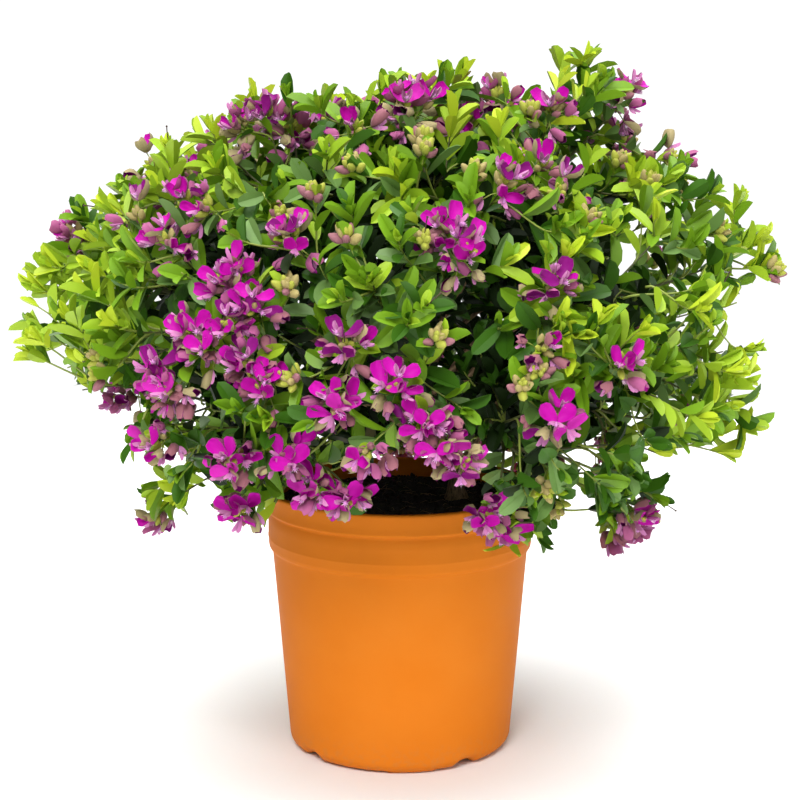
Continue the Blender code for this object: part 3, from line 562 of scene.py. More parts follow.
def dress(tree, shader, tone, relief, strength, depth):
    """Links a colour and a relief of a depth in metres to a shader."""
    tree.links.new(tone, shader.inputs["Base Color"])
    inputs = {"Height": relief, "Strength": strength, "Distance": depth}
    bump = add_node(tree, "ShaderNodeBump", inputs=inputs)
    tree.links.new(bump.outputs["Normal"], shader.inputs["Normal"])


def new_material(name, base, roughness, gloss=0.5):
    """A material of one principled shader: the material, its node tree and the shader."""
    material = bpy.data.materials.new(name)
    material.use_nodes = True
    shader = material.node_tree.nodes["Principled BSDF"]
    for socket, value in (("Base Color", base), ("Roughness", roughness), ("Specular IOR Level", gloss)):
        shader.inputs[socket].default_value = value
    return material, material.node_tree, shader


def moulded_polypropylene(settings):
    """Injection-moulded polypropylene: satin, faintly cloudy, with a fine mould grain and dust low down.

    Its colour is painted lighter low down and darker up towards the lip: painted light near the ground and
    painted shade of the crown under the lip.
    """
    material, tree, shader = new_material("moulded_polypropylene", settings.plastic, 0.42, 0.06)
    place = add_node(tree, "ShaderNodeTexCoord").outputs["Object"]
    height = add_node(tree, "ShaderNodeSeparateXYZ", inputs={"Vector": place}).outputs["Z"]
    cloud = pattern(tree, place, 22.0, 3.0)  # clouds of about 45 mm
    specks = pattern(tree, place, 260.0, 5.0)  # smudges of about 4 mm
    grain = pattern(tree, place, 1400.0, 2.0)  # mould grain of about 0.7 mm
    value = remapped(tree, height, 0.0, 0.19, 1.10, 0.86)  # painted light low down and painted shade under the lip, from the ground to the lip
    tone = blended(tree, cloud, settings.plastic, settings.shaded)
    tone = add_node(tree, "ShaderNodeHueSaturation", inputs={"Color": tone, "Value": value}).outputs["Color"]
    low = remapped(tree, height, 0.0, 0.030, 0.45, 0.0, {"interpolation_type": "SMOOTHSTEP"})
    dusty = product(tree, low, remapped(tree, specks, 0.48, 0.75))
    dress(tree, shader, blended(tree, dusty, tone, settings.dust), grain, 0.08, 0.0004)
    tree.links.new(remapped(tree, cloud, 0.0, 1.0, 0.52, 0.64), shader.inputs["Roughness"])
    shader.inputs["IOR"].default_value = 1.49
    return material


def damp_peat(settings):
    """Milled peat compost: nearly black and matt where damp, brown and crumbly where it has dried."""
    material, tree, shader = new_material("damp_peat", settings.peat, 0.95)
    place = add_node(tree, "ShaderNodeTexCoord").outputs["Object"]
    crumbs = pattern(tree, place, 420.0, 8.0, more={"Roughness": 0.7})  # crumbs of about 2.4 mm
    dry = remapped(tree, crumbs, 0.50, 0.72)
    dress(tree, shader, blended(tree, dry, settings.peat, settings.dry), crumbs, 0.9, 0.0015)
    return material


def furrowed_bark(settings):
    """Dry young bark: pale brown ridges that run along the limb, with darker furrows between them.

    The ridges are about 1.4 mm across and eight times as long.
    """
    material, tree, shader = new_material("furrowed_young_bark", settings.bark, 0.85)
    across = add_node(tree, "ShaderNodeAttribute", {"attribute_name": GRAIN_ACROSS}).outputs["Vector"]
    along = add_node(tree, "ShaderNodeAttribute", {"attribute_name": GRAIN_ALONG}).outputs["Fac"]
    more = {"W": product(tree, along, 0.12), "Roughness": 0.6}
    ridges = pattern(tree, across, 700.0, 5.0, {"noise_dimensions": "4D"}, more)
    depth = remapped(tree, ridges, 0.36, 0.60)
    dress(tree, shader, blended(tree, depth, settings.furrow, settings.bark), ridges, 0.7, 0.0005)
    return material


def waxy_leaf(name, base):
    """A leathery leaf with a thin wax: soft broad gloss over one plain green."""
    return new_material(f"waxy_leaf_{name}", base, 0.46, 0.30)[0]


def soft_petal(name, base):
    """Petal tissue: matt and full of colour, with a faint velvety sheen."""
    material, _, shader = new_material(f"soft_petal_{name}", base, 0.55, 0.15)
    shader.inputs["Sheen Weight"].default_value = 0.06
    return material


def green_wood(name, base):
    """Soft green wood under a thin skin: plain and faintly glossy."""
    return new_material(f"green_wood_{name}", base, 0.5, 0.35)[0]


def dry_matter(name, base, roughness):
    """Dead dry plant matter: plain and dull."""
    return new_material(name, base, roughness)[0]


def matt_floor(base):
    """A matt painted studio floor."""
    return new_material("matt_floor_paint", base, 0.9)[0]


# Shapes


def place_piece(name, mesh, material, nodes=()):
    """Puts a finished mesh in the scene as a piece that stands for its solids."""
    mesh.name = name
    mesh.materials.clear()
    mesh.materials.append(material)
    obj = bpy.data.objects.new(name, mesh)
    bpy.context.scene.collection.objects.link(obj)
    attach(obj, "root")
    if nodes:
        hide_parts(*nodes)


def arc(middle, radius, first, last, steps):
    """Points of a round edge in a turned profile, as (radius, height)."""
    angles = [first + (last - first) * i / steps for i in range(steps + 1)]
    return [(middle[0] + radius * math.cos(a), middle[1] + radius * math.sin(a)) for a in angles]


def turned_shape(profile, steps, outer_from=0):
    """A profile of (radius, height) turned round Z. Its outer skin is marked from one of its points on."""
    shape = bmesh.new()
    skin = shape.verts.layers.int.new("skin")
    corners = [shape.verts.new((radius, 0.0, height)) for radius, height in profile]
    for corner in corners[outer_from:]:
        corner[skin] = 1
    edges = [shape.edges.new(pair) for pair in zip(corners, corners[1:])]
    bmesh.ops.spin(
        shape,
        geom=[*corners, *edges],
        cent=(0, 0, 0),
        axis=(0, 0, 1),
        angle=math.tau,
        steps=steps,
        use_merge=True,
    )
    bmesh.ops.remove_doubles(shape, verts=shape.verts, dist=0.000005)
    bmesh.ops.recalc_face_normals(shape, faces=shape.faces)
    return shape, skin


def mesh_from(shape, name):
    """A bmesh as a smooth mesh. The bmesh is freed."""
    mesh = bpy.data.meshes.new(name)
    shape.to_mesh(mesh)
    shape.free()
    mesh.shade_smooth()
    return mesh


def tubes(name, runs, resolution):
    """One mesh of round tubes with filled ends, each along its points with a radius at each."""
    curve = bpy.data.curves.new(name, "CURVE")
    curve.dimensions = "3D"
    curve.bevel_depth = 1.0
    curve.bevel_resolution = resolution
    curve.use_fill_caps = True
    for points, radii in runs:
        spline = curve.splines.new("POLY")
        spline.points.add(len(points) - 1)
        flat = [value for point in points for value in (*point, 1.0)]
        spline.points.foreach_set("co", flat)
        spline.points.foreach_set("radius", list(radii))
        spline.use_smooth = True
    obj = bpy.data.objects.new(name, curve)
    bpy.context.scene.collection.objects.link(obj)
    graph = bpy.context.evaluated_depsgraph_get()
    mesh = bpy.data.meshes.new_from_object(obj.evaluated_get(graph))
    bpy.data.objects.remove(obj)
    bpy.data.curves.remove(curve)
    shape = bmesh.new()
    shape.from_mesh(mesh)
    bmesh.ops.remove_doubles(shape, verts=shape.verts, dist=0.000002)
    shape.to_mesh(mesh)
    shape.free()
    return mesh


def lay_grain(mesh, runs):
    """Stores where each point of a limb's skin lies across and along the limb, for the bark's pattern."""
    axes = np.concatenate([np.array(points) for points, _ in runs])
    marks = []
    for points, _ in runs:
        steps = np.linalg.norm(np.diff(np.array(points), axis=0), axis=1)
        marks.append(np.concatenate([[0.0], np.cumsum(steps)]))
    marks = np.concatenate(marks)
    skin = np.array([vert.co for vert in mesh.vertices])
    nearest = np.array([int(np.argmin(((axes - point) ** 2).sum(axis=1))) for point in skin])
    across = mesh.attributes.new(GRAIN_ACROSS, "FLOAT_VECTOR", "POINT")
    across.data.foreach_set("vector", (skin - axes[nearest]).astype(np.float32).ravel())
    along = mesh.attributes.new(GRAIN_ALONG, "FLOAT", "POINT")
    along.data.foreach_set("value", marks[nearest].astype(np.float32))


class Shape:
    """Points and faces of a small mesh, ready to be copied many times, perhaps creased at its middle."""

    def __init__(self, faces, creased=False):
        verts = list(dict.fromkeys(vert for face in faces for vert in face.verts))
        number = {vert: i for i, vert in enumerate(verts)}
        self.points = np.array([vert.co for vert in verts])
        self.corners = np.array([number[vert] for face in faces for vert in face.verts])
        self.sizes = np.array([len(face.verts) for face in faces])
        self.ribs = np.abs(self.points[:, 0]) < 1e-6 if creased else np.zeros(len(verts), bool)


class Heap:
    """Gathers placed copies of small shapes and joins them into one mesh."""

    def __init__(self):
        self.points = []
        self.corners = []
        self.sizes = []
        self.ribs = []
        self.total = 0

    def add(self, shape, places):
        if not len(places):
            return
        moved = np.einsum("pij,vj->pvi", places[:, :3, :3], shape.points) + places[:, None, :3, 3]
        starts = self.total + np.arange(len(places)) * len(shape.points)
        self.points.append(moved.reshape(-1, 3))
        self.corners.append((shape.corners[None] + starts[:, None]).ravel())
        self.sizes.append(np.tile(shape.sizes, len(places)))
        self.ribs.append(np.tile(shape.ribs, len(places)))
        self.total += len(places) * len(shape.points)

    def mesh(self, name):
        points = np.concatenate(self.points).astype(np.float32)
        corners = np.concatenate(self.corners).astype(np.int32)
        sizes = np.concatenate(self.sizes).astype(np.int32)
        mesh = bpy.data.meshes.new(name)
        mesh.vertices.add(len(points))
        mesh.vertices.foreach_set("co", points.ravel())
        mesh.loops.add(len(corners))
        mesh.loops.foreach_set("vertex_index", corners)
        mesh.polygons.add(len(sizes))
        mesh.polygons.foreach_set("loop_start", (np.cumsum(sizes) - sizes).astype(np.int32))
        mesh.update(calc_edges=True)
        mesh.validate()
        mesh.shade_smooth()
        ends = np.empty(2 * len(mesh.edges), np.int32)
        mesh.edges.foreach_get("vertices", ends)
        creases = np.concatenate(self.ribs)[ends.reshape(-1, 2)].all(axis=1)
        if creases.any():
            mesh.edges.foreach_set("use_edge_sharp", creases)
        return mesh


def unit(vectors):
    """The same directions, each one unit long."""
    return vectors / np.linalg.norm(vectors, axis=-1, keepdims=True)


def placed(roots, along, facing, sizes):
    """Matrices that put shapes on roots, their Y along one way and their Z facing another."""
    along = unit(along)
    across = unit(np.cross(along, facing))
    facing = np.cross(across, along)
    places = np.zeros((len(roots), 4, 4))
    for column, way in enumerate((across, along, facing)):
        places[:, :3, column] = way * sizes[:, column, None]
    places[:, :3, 3] = roots
    places[:, 3, 3] = 1.0
    return places


def finished(shape, creased=False):
    """The faces of a bmesh as a small shape. The bmesh is freed."""
    made = Shape(shape.faces[:], creased)
    shape.free()
    return made


def blade(columns, bend):
    """A grid one unit long along Y and pointed at both ends, with each point where the rule bend lays it.

    Bend is given a point's place across, from -1 to 1, its place along, and how full the blade is there.
    """
    shape = bmesh.new()
    bmesh.ops.create_grid(shape, x_segments=columns, y_segments=6, size=0.5)
    for vert in shape.verts:
        turn = math.pi * (vert.co.y + 0.5)
        vert.co = bend(vert.co.x * 2, 0.5 - 0.5 * math.cos(turn), max(math.sin(turn), 0.0))
    bmesh.ops.remove_doubles(shape, verts=shape.verts, dist=0.0005)
    return shape


def leaf_shape(fold, curl, taper):
    """A leaf one unit long and wide along Y, its face up Z, folded at its midrib and curled to its tip."""

    def bend(side, along, full):
        half = 0.5 * full**taper * (0.76 + 0.38 * along)
        return side * half, along, fold * abs(side) * half - curl * along * along

    return finished(blade(2, bend), creased=True)


def wing_shapes():
    """A broad cupped wing along Y: its coloured inner side, and its outer side just behind and past it."""

    def bend(side, along, full):
        half = 0.53 * full**0.85 * (0.50 + 0.66 * along)
        belly = -0.5 * half * abs(side) * (1 - abs(side))
        wave = 0.05 * side * math.sin(math.tau * along) + belly
        cup = 0.46 * side * side * half - 0.13 * math.sin(math.pi * along) + 0.10 * along**3 + wave
        return side * half, along, cup

    shape = blade(4, bend)
    inner = Shape(shape.faces[:])
    bmesh.ops.translate(shape, verts=shape.verts, vec=(0, -0.5, -0.010))
    bmesh.ops.scale(shape, verts=shape.verts, vec=(1.035, 1.025, 1.0))
    bmesh.ops.translate(shape, verts=shape.verts, vec=(0, 0.5, 0))
    bmesh.ops.reverse_faces(shape, faces=shape.faces)
    return inner, finished(shape)


def egg_shape(rings, fullness, sag):
    """A closed shape one unit long along Y, as full along it as a rule says, its middle sagging down Z."""
    shape = bmesh.new()
    bmesh.ops.create_uvsphere(shape, u_segments=6, v_segments=rings, radius=0.5)
    bmesh.ops.rotate(shape, verts=shape.verts, matrix=LAID_ALONG_Y)
    for vert in shape.verts:
        along = vert.co.y + 0.5
        full = fullness(along)
        vert.co = (vert.co.x * full, along, vert.co.z * full - sag * math.sin(math.pi * along))
    return finished(shape)


def tuft_shape():
    """A brush that opens along Y: a cuff cut into eight narrow lobes of uneven length."""
    shape = bmesh.new()
    bmesh.ops.create_cone(shape, segments=16, radius1=0.14, radius2=0.5, depth=0.9)
    bmesh.ops.rotate(shape, verts=shape.verts, matrix=LAID_ALONG_Y)
    ends = [vert for vert in shape.verts if vert.co.y > 0]
    ends.sort(key=lambda vert: math.atan2(vert.co.z, vert.co.x))
    for i, vert in enumerate(ends):
        if i % 2:
            vert.co = (vert.co.x * 0.42, -0.18, vert.co.z * 0.42)
        else:
            pulled = (1.0, 0.78, 0.92, 0.70)[i // 2 % 4]
            vert.co = (vert.co.x * pulled, vert.co.y - 0.12 * (i // 2 % 3), vert.co.z * pulled)
    bmesh.ops.recalc_face_normals(shape, faces=shape.faces)
    return finished(shape)


def crumb_shape():
    """A crumb of peat, one unit across."""
    shape = bmesh.new()
    bmesh.ops.create_icosphere(shape, subdivisions=1, radius=0.5)
    return finished(shape)


# The growth rule


def aim(bearing, elevation):
    """Unit direction, from angles in radians."""
    level = math.cos(elevation)
    return Vector((level * math.cos(bearing), level * math.sin(bearing), math.sin(elevation)))


def spread_way(i, number, ahead=0.0):
    """The direction of one of a number that wind round the crown from its top to its lowest shoots."""
    rise = 1 - (1 - math.sin(LOWEST)) * (i + 0.5) / number
    return aim((i + ahead) * GOLDEN_ANGLE, math.asin(rise))


def side_way(way, turn):
    """The direction square to a way, turned round it by an angle."""
    first = way.orthogonal().normalized()
    return first * math.cos(turn) + way.cross(first) * math.sin(turn)


def reach_of(offsets):
    """Distances from the crown's centre to its outside, in the directions of offsets from it."""
    ways = unit(np.asarray(offsets, float))
    level = np.hypot(ways[:, 0], ways[:, 1])
    half_height = np.where(ways[:, 2] > 0, CROWN_UP, CROWN_DOWN)
    distance = 1 / np.hypot(level / CROWN_ACROSS, ways[:, 2] / half_height)
    for bearing, elevation, share in SWELLS:
        swell = np.array(aim(math.radians(bearing), math.radians(elevation)))
        apart = np.arccos(np.clip(ways @ swell, -1, 1))
        distance *= 1 + share * np.exp(-0.5 * (apart / SWELL_WIDTH) ** 2)
    return distance


def depth_of(offsets):
    """How far inside the crown's outside offsets from its centre lie."""
    return reach_of(offsets) - np.linalg.norm(offsets, axis=1)


def crown_point(direction, share, inset=0.0):
    """The point at a share of the way from the centre to the crown's outside, less an inset."""
    return CENTRE + direction * (float(reach_of([direction])[0]) * share - inset)


def curve_points(start, first, second, end, steps):
    """Points along the cubic from start to end, drawn by the two handles."""
    found = []
    for i in range(steps):
        t = i / (steps - 1)
        s = 1 - t
        found.append(start * s**3 + first * (3 * s * s * t) + second * (3 * s * t * t) + end * t**3)
    return found


def bent(start, sets_off, end, comes_in, steps):
    """Points along a bend that leaves its start one way and comes in to its end another."""
    length = (end - start).length
    first = start + sets_off * (length * SET_OFF)
    return curve_points(start, first, end - comes_in * (length * COME_IN), end, steps)


def tapered(first, last, steps):
    """Values that run evenly from the first to the last."""
    return [first + (last - first) * i / (steps - 1) for i in range(steps)]


def sight_line(across, up):
    """Points of a sight line through the crown, as offsets from its centre, and how deep each lies in it."""
    ray = np.array((Vector((across, 0.0, up)) - EYE).normalized())
    distances = SIGHT[0] + (SIGHT[1] - SIGHT[0]) * np.arange(SIGHT_STEPS) / SIGHT_STEPS
    offsets = np.array(EYE - CENTRE) + distances[:, None] * ray
    return offsets, depth_of(offsets)


def seen_from_front(across, up):
    """Direction from the crown's centre to where a sight line first meets its outside, or passes nearest."""
    offsets, depth = sight_line(across, up)
    length = np.linalg.norm(offsets, axis=1)
    ratio = np.maximum(1.0, length / (length + depth))
    return Vector(offsets[np.argmin(ratio)]).normalized()


def front_spot(across, up, inset):
    """The point of a sight line that lies an inset inside the crown, or as near as it comes."""
    offsets, depth = sight_line(across, up)
    best = int(np.argmax(depth >= inset)) if depth.max() >= inset else int(np.argmax(depth))
    offset = Vector(offsets[best])
    longest = offset.length + float(depth[best]) + PAST_OUTSIDE
    return CENTRE + offset * min(1.0, longest / offset.length)


def crown_tips():
    """Where main twigs end, and whether in flowers, as in the solids."""
    dice = random.Random(SEED)
    directions = []
    tips = []

    def add(direction, share, blooms, spacing, spot=None):
        if all(direction.angle(other) > spacing for other in directions):
            directions.append(direction)
            inset = BLOOM_INSET if blooms else LEAF_INSET
            tips.append((spot or crown_point(direction, share, inset), direction, share, blooms))

    for across, up in FRONT_HEADS:
        spot = front_spot(across, up, HEAD_DEPTH)
        add(seen_from_front(across, up), 1.0, True, HEAD_SPACING, spot)
    for bearing, elevation, share in SWELLS:
        if share > 0:
            add(aim(math.radians(bearing), math.radians(elevation)), 1.0, False, HEAD_SPACING)
    for i in range(TIP_COUNT):
        direction = spread_way(i, TIP_COUNT)
        in_front = direction.y < SIDEWAYS
        blooms = dice.random() < BLOOM_SHARE and not in_front
        spacing = FRONT_SPACING if in_front else TIP_SPACING
        add(direction, dice.uniform(TIP_SHORTEST, 1.0), blooms, spacing)
    return tips


def trunk_points(steps):
    """The trunk's axis, from its cut on the compost to the middle of the crown."""
    up = Vector((0, 0, TRUNK_RISE))
    return curve_points(TRUNK_FOOT, TRUNK_FOOT + up, TRUNK_TIP - up, TRUNK_TIP, steps)


def at_height(points, height):
    """Where an upright limb passes a height, and its direction there."""
    for low, high in zip(points, points[1:]):
        if high.z >= height:
            return low.lerp(high, (height - low.z) / (high.z - low.z)), (high - low).normalized()
    raise ValueError(f"the trunk doesn't reach {height}")


def mass_directions():
    """Directions of the masses on boughs, with the height at which each bough leaves the trunk."""
    plan = []
    for elevation, number, low, high in TIERS:
        for i in range(number):
            direction = aim(math.radians(360 * i / number), math.radians(elevation))
            plan.append((direction, low + (high - low) * (i * GOLDEN_STEP % 1)))
    return plan


def bough_points(direction, height, trunk, steps):
    """A bough springs square from the trunk and bends to run into its mass."""
    axis, trunk_way = at_height(trunk, height)
    end = crown_point(direction, BOUGH_END)
    towards = end - axis
    square = (towards - trunk_way * towards.dot(trunk_way)).normalized()
    start = axis + square * BOUGH_START
    into = (crown_point(direction, MASS_CENTRE) - end).normalized()
    return [axis, *bent(start, square + trunk_way * BOUGH_RISE, end, into, steps)]


class Shoot:
    """A shoot: points from its root to its tip, what it is, and the leafless length at its tip."""

    def __init__(self, points, kind, bare=0.0):
        self.points = np.array(points)
        self.kind = kind
        self.bare = bare

    def way(self):
        return Vector(self.points[-1] - self.points[-2]).normalized()

    def tip(self):
        return Vector(self.points[-1])


def comes_in_at(tip):
    """How a shoot turns to come in at its tip: outwards, and up in the upper half."""
    outward = (tip - CENTRE).normalized()
    turned_up = TWIG_LIFT if outward.z > 0 else -TWIG_DROOP
    return (outward + Vector((0, 0, turned_up))).normalized()


def main_growth():
    """Trunk, boughs, stems and main twigs, on the same lines as the solids."""
    trunk = trunk_points(TRUNK_STEPS)
    plan = mass_directions()
    boughs = [bough_points(way, height, trunk, BOUGH_STEPS) for way, height in plan]
    ways = [*(way for way, _ in plan), TOP]
    centres = np.array([crown_point(way, MASS_CENTRE) for way in ways])
    tips = crown_tips()
    nearest = [int(np.argmin(((centres - np.array(tip[0])) ** 2).sum(axis=1))) for tip in tips]
    dice = random.Random(SEED + 1)
    stems = []
    twigs = []
    low, high = TWIG_STARTS
    for index, carrier in enumerate([*boughs, trunk]):
        end = crown_point(ways[index], STEM_END)
        sets_off = (carrier[-1] - carrier[-2]).normalized()
        stem = bent(carrier[-1], sets_off, end, (end - CENTRE).normalized(), STEM_STEPS)
        stems.append(stem)
        own = [tip for tip, near in zip(tips, nearest) if near == index]
        own.sort(key=lambda tip: (not tip[3], -(tip[0] - end).length))
        for i, (tip, direction, share, blooms) in enumerate(own):
            along = (low + (high - low) * (i * GOLDEN_STEP % 1)) * (len(stem) - 1)
            step = int(along)
            root = stem[step].lerp(stem[step + 1], along - step)
            if not blooms:
                tip = crown_point(direction, share, SHOOT_DEPTH)
            stem_way = (stem[step + 1] - stem[step]).normalized()
            points = bent(root, stem_way, tip, comes_in_at(tip), TWIG_STEPS)
            if blooms and not in_gap(np.array([tip])).any():
                twigs.append(Shoot(points, "head", HEAD_BARE))
            else:
                twigs.append(Shoot(points, "young" if dice.random() < YOUNG_TWIGS else "leafy"))
    return trunk, boughs, stems, twigs


def nearest_root(tip, roots, ways, load):
    """The best place on a main twig for a shoot to a tip: near, not turning back, and not yet crowded."""
    towards = np.array(tip) - roots
    length = np.linalg.norm(towards, axis=1)
    turning = 1 - (towards * ways).sum(axis=1) / length
    short = np.where(length < SHORT_SHOOT, SHORT_COST, 0.0)
    return int(np.argmin(length + TURNING_COST * turning + short + load))


def outer_kind(direction, height, luck):
    """What a shoot at the crown's outside is where it carries leaves alone."""
    in_front = direction.y < SIDEWAYS
    edge = YOUNG_EDGE if height > MATURE_AND_SHADED_BELOW else YOUNG_EDGE_LOW
    if luck < YOUNG_LUCK and direction.y > edge and height > ROSETTES_SHADED:
        return "young"
    # Lower in front, leaves take darker mixes as painted shade: shaded rosettes lowest, full-grown leaves
    # above them
    if in_front and height < ROSETTES_SHADED:
        return "shaded"
    return "mature_and_shaded" if in_front and height < MATURE_AND_SHADED_BELOW else "leafy"


@functools.cache
def grown_crown(shoot_count, inner_count):
    """The whole crown: trunk, boughs, stems, and all twigs and shoots, with what each of them is."""
    trunk, boughs, stems, twigs = main_growth()
    roots = np.concatenate([twig.points[TWIG_ROOTS] for twig in twigs])
    ways = unit(np.concatenate([np.gradient(twig.points, axis=0)[TWIG_ROOTS] for twig in twigs]))
    load = np.zeros(len(roots))
    dice = random.Random(SEED + 2)
    shoots = []
    heads = [twig.tip() for twig in twigs if twig.kind == "head"]
    named = [(head - CENTRE).normalized() for head in heads]

    def grow(tip, kind, bare=0.0, named_one=False):
        best = nearest_root(tip, roots, ways, load)
        load[max(0, best - 1) : best + 2] += CROWDED_COST
        root, way = Vector(roots[best]), Vector(ways[best])
        shoot = Shoot(bent(root, way, tip, comes_in_at(tip), SHOOT_STEPS), kind, bare)
        outer_half = shoot.points[SHOOT_STEPS // 2 :]
        kept_out = in_pot_or_window(outer_half)
        blocked = in_gap(outer_half) | kept_out
        hidden = kind in LEAFY_KINDS and in_hollow(shoot.points[-1:]).any()
        has_room = blocked.sum() < 2 and not hidden
        if kind == "head" or has_room or (named_one and not kept_out.any()):
            shoots.append(shoot)

    for across, up in (*FRONT_HEADS, *NEAR_HEADS):
        spot = front_spot(across, up, HEAD_DEPTH)
        if min((spot - head).length for head in heads) > SAME_HEAD:
            grow(spot, "head", HEAD_BARE)
            named.append(seen_from_front(across, up))
    for places, kind, depth, bare in (
        (CLOSED_HEADS, "closed", HEAD_DEPTH, CLOSED_BARE),
        (FRONT_BUDS, "buds", SHOOT_DEPTH, BUDS_BARE),
        (FRONT_YOUNG, "young", NAMED_DEPTH, 0.0),
        (FRONT_ROSETTES, "mature_and_shaded", NAMED_DEPTH, 0.0),
    ):
        for across, up in places:
            # Named rosettes low in front take the shaded mix, whose darker greens are painted shade.
            shaded = kind == "mature_and_shaded" and up < ROSETTES_SHADED
            grow(front_spot(across, up, depth), "shaded" if shaded else kind, bare, True)
            named.append(seen_from_front(across, up))
    for i in range(shoot_count):
        direction = spread_way(i, shoot_count, 0.5)
        luck = dice.random()
        outermost = dice.random() < OUTER_SHARE
        share = dice.uniform(*(OUTER_REACH if outermost else UNDER_REACH))
        if min(direction.angle(other) for other in named) < SHOOT_SPACING:
            continue
        tip = crown_point(direction, share, SHOOT_DEPTH)
        if not outermost:
            grow(tip, "low")
        elif luck < HEAD_LUCK and direction.y >= SIDEWAYS:
            grow(crown_point(direction, share, BLOOM_INSET), "head", HEAD_BARE)
        elif luck < BUDS_LUCK:
            grow(tip, "buds", BUDS_BARE)
        else:
            grow(tip, outer_kind(direction, tip.z, luck))
    for i in range(inner_count):
        grow(crown_point(spread_way(i, inner_count), dice.uniform(*INNER_REACH)), "inner")
    return trunk, boughs, stems, twigs, shoots


# Where foliage may not grow


def on_front_plane(points):
    """Where sight lines to points cross the upright plane through the pot's axis."""
    eye = np.array(EYE)
    offsets = points - eye
    share = -eye[1] / offsets[:, 1]
    return eye + offsets * share[:, None]


def in_ellipses(seen, ellipses):
    """Which points on the upright plane lie in one of some ellipses."""
    found = np.zeros(len(seen), bool)
    for across, up, half_width, half_height in ellipses:
        found |= np.hypot((seen[:, 0] - across) / half_width, (seen[:, 2] - up) / half_height) < 1
    return found


def in_gap(points):
    """Whether points lie in line with a gap that shows the sky, or hang over the pot's lip in front."""
    seen = on_front_plane(points)
    left, right, lowest = LIP_CLEAR
    over_lip = (seen[:, 0] > left) & (seen[:, 0] < right) & (seen[:, 2] < lowest) & (points[:, 1] < 0)
    return in_ellipses(seen, GAPS) | over_lip


def in_hollow(points):
    """Whether points lie in the outer part of one of the hollows in front."""
    shallow = depth_of(points - np.array(CENTRE)) < HOLLOW_DEPTH
    return in_ellipses(on_front_plane(points), HOLLOWS) & shallow & (points[:, 1] < 0)


def in_pot_or_window(points):
    """Which points lie in the pot, or in the opening in front that shows the trunk's foot."""
    level = np.hypot(points[:, 0], points[:, 1])
    in_pot = (level < POT_ACROSS + POT_MARGIN) & (points[:, 2] < POT_UP + POT_MARGIN)
    across = (points[:, 0] > WINDOW_ACROSS[0]) & (points[:, 0] < WINDOW_ACROSS[1])
    under = points[:, 2] < WINDOW_TOP - WINDOW_SLOPE * points[:, 1]
    return in_pot | (across & under & (points[:, 1] < 0))


def past_reach(points):
    """Which points stand too far out of the crown."""
    offsets = points - np.array(CENTRE)
    return np.linalg.norm(offsets, axis=1) > reach_of(offsets) * MOST_REACH


# Leaves


def leaf_stations(length, bare):
    """Distances from a shoot's tip at which it carries leaves."""
    found = []
    back = FIRST_LEAF + bare
    step = 2 * FIRST_STEP if bare else FIRST_STEP
    while back < min(LEAFY_LENGTH, length * LEAFY_SHARE):
        found.append(back)
        back += step
        step = min(step * STEP_GROWTH, LAST_STEP)
    return found


def shoot_leaves(number, shoot, length, width):
    """The leaves of a shoot: where, along which way, facing which, how large, their colour and form."""
    dice = random.Random(f"{SEED} leaves {number}")
    points = shoot.points
    runs = np.linalg.norm(np.diff(points, axis=0), axis=1)
    marks = np.concatenate([[0.0], np.cumsum(runs)])
    turn = dice.uniform(0, math.tau)
    rows = []
    for back in leaf_stations(marks[-1], shoot.bare):
        turn += GOLDEN_ANGLE + dice.uniform(-TURN_SCATTER, TURN_SCATTER)
        at = marks[-1] - back
        step = min(int(np.searchsorted(marks, at, side="right")) - 1, len(runs) - 1)
        run = points[step + 1] - points[step]
        root = Vector(points[step] + run * ((at - marks[step]) / runs[step]))
        way = Vector(run).normalized()
        out = side_way(way, turn)
        opened = min(1.0, (back - shoot.bare) / ROSETTE)
        age = min(1.0, back / FULL_AGE)
        closed, opening, ageing, scatter = LEAF_SPREAD
        spread = math.radians(closed + opening * opened + ageing * age + dice.uniform(-scatter, scatter))
        outward = (root - CENTRE).normalized()
        lift = LIGHT_LIFT if outward.z > UNDERSIDE else UNDER_LIFT
        along = (way * math.cos(spread) + out * math.sin(spread) + Vector((0, 0, lift))).normalized()
        scatter = Vector([dice.uniform(-FACE_SCATTER, FACE_SCATTER) for _ in range(3)])
        facing = way - along * way.dot(along)
        facing = facing * FACE_TIP + Vector((0, 0, FACE_UP)) + outward * FACE_OUT + scatter
        grown = SMALLEST + (1 - SMALLEST) * opened
        if shoot.kind == "head":
            grown = max(grown, SMALLEST_AT_HEAD)
        long = length * grown * dice.uniform(*LENGTHS)
        wide = width * grown * (WIDTH_YOUNG + WIDTH_AGEING * age) * dice.uniform(*WIDTHS)
        wide *= WIDTH_BY_KIND.get(shoot.kind, 1.0)
        mix = COLOUR_MIX.get(shoot.kind, COLOUR_MIX["leafy"])[sum(back >= end for end in ZONE_ENDS)]
        tone = dice.choices(list(mix), list(mix.values()))[0]
        folded = shoot.kind == "young" and dice.random() < FOLDED_SHARE
        form = FOLDED if folded else dice.randrange(len(LEAF_FORMS))
        rows.append((root, along, facing, (wide, long, long), tone, form, number))
    return rows


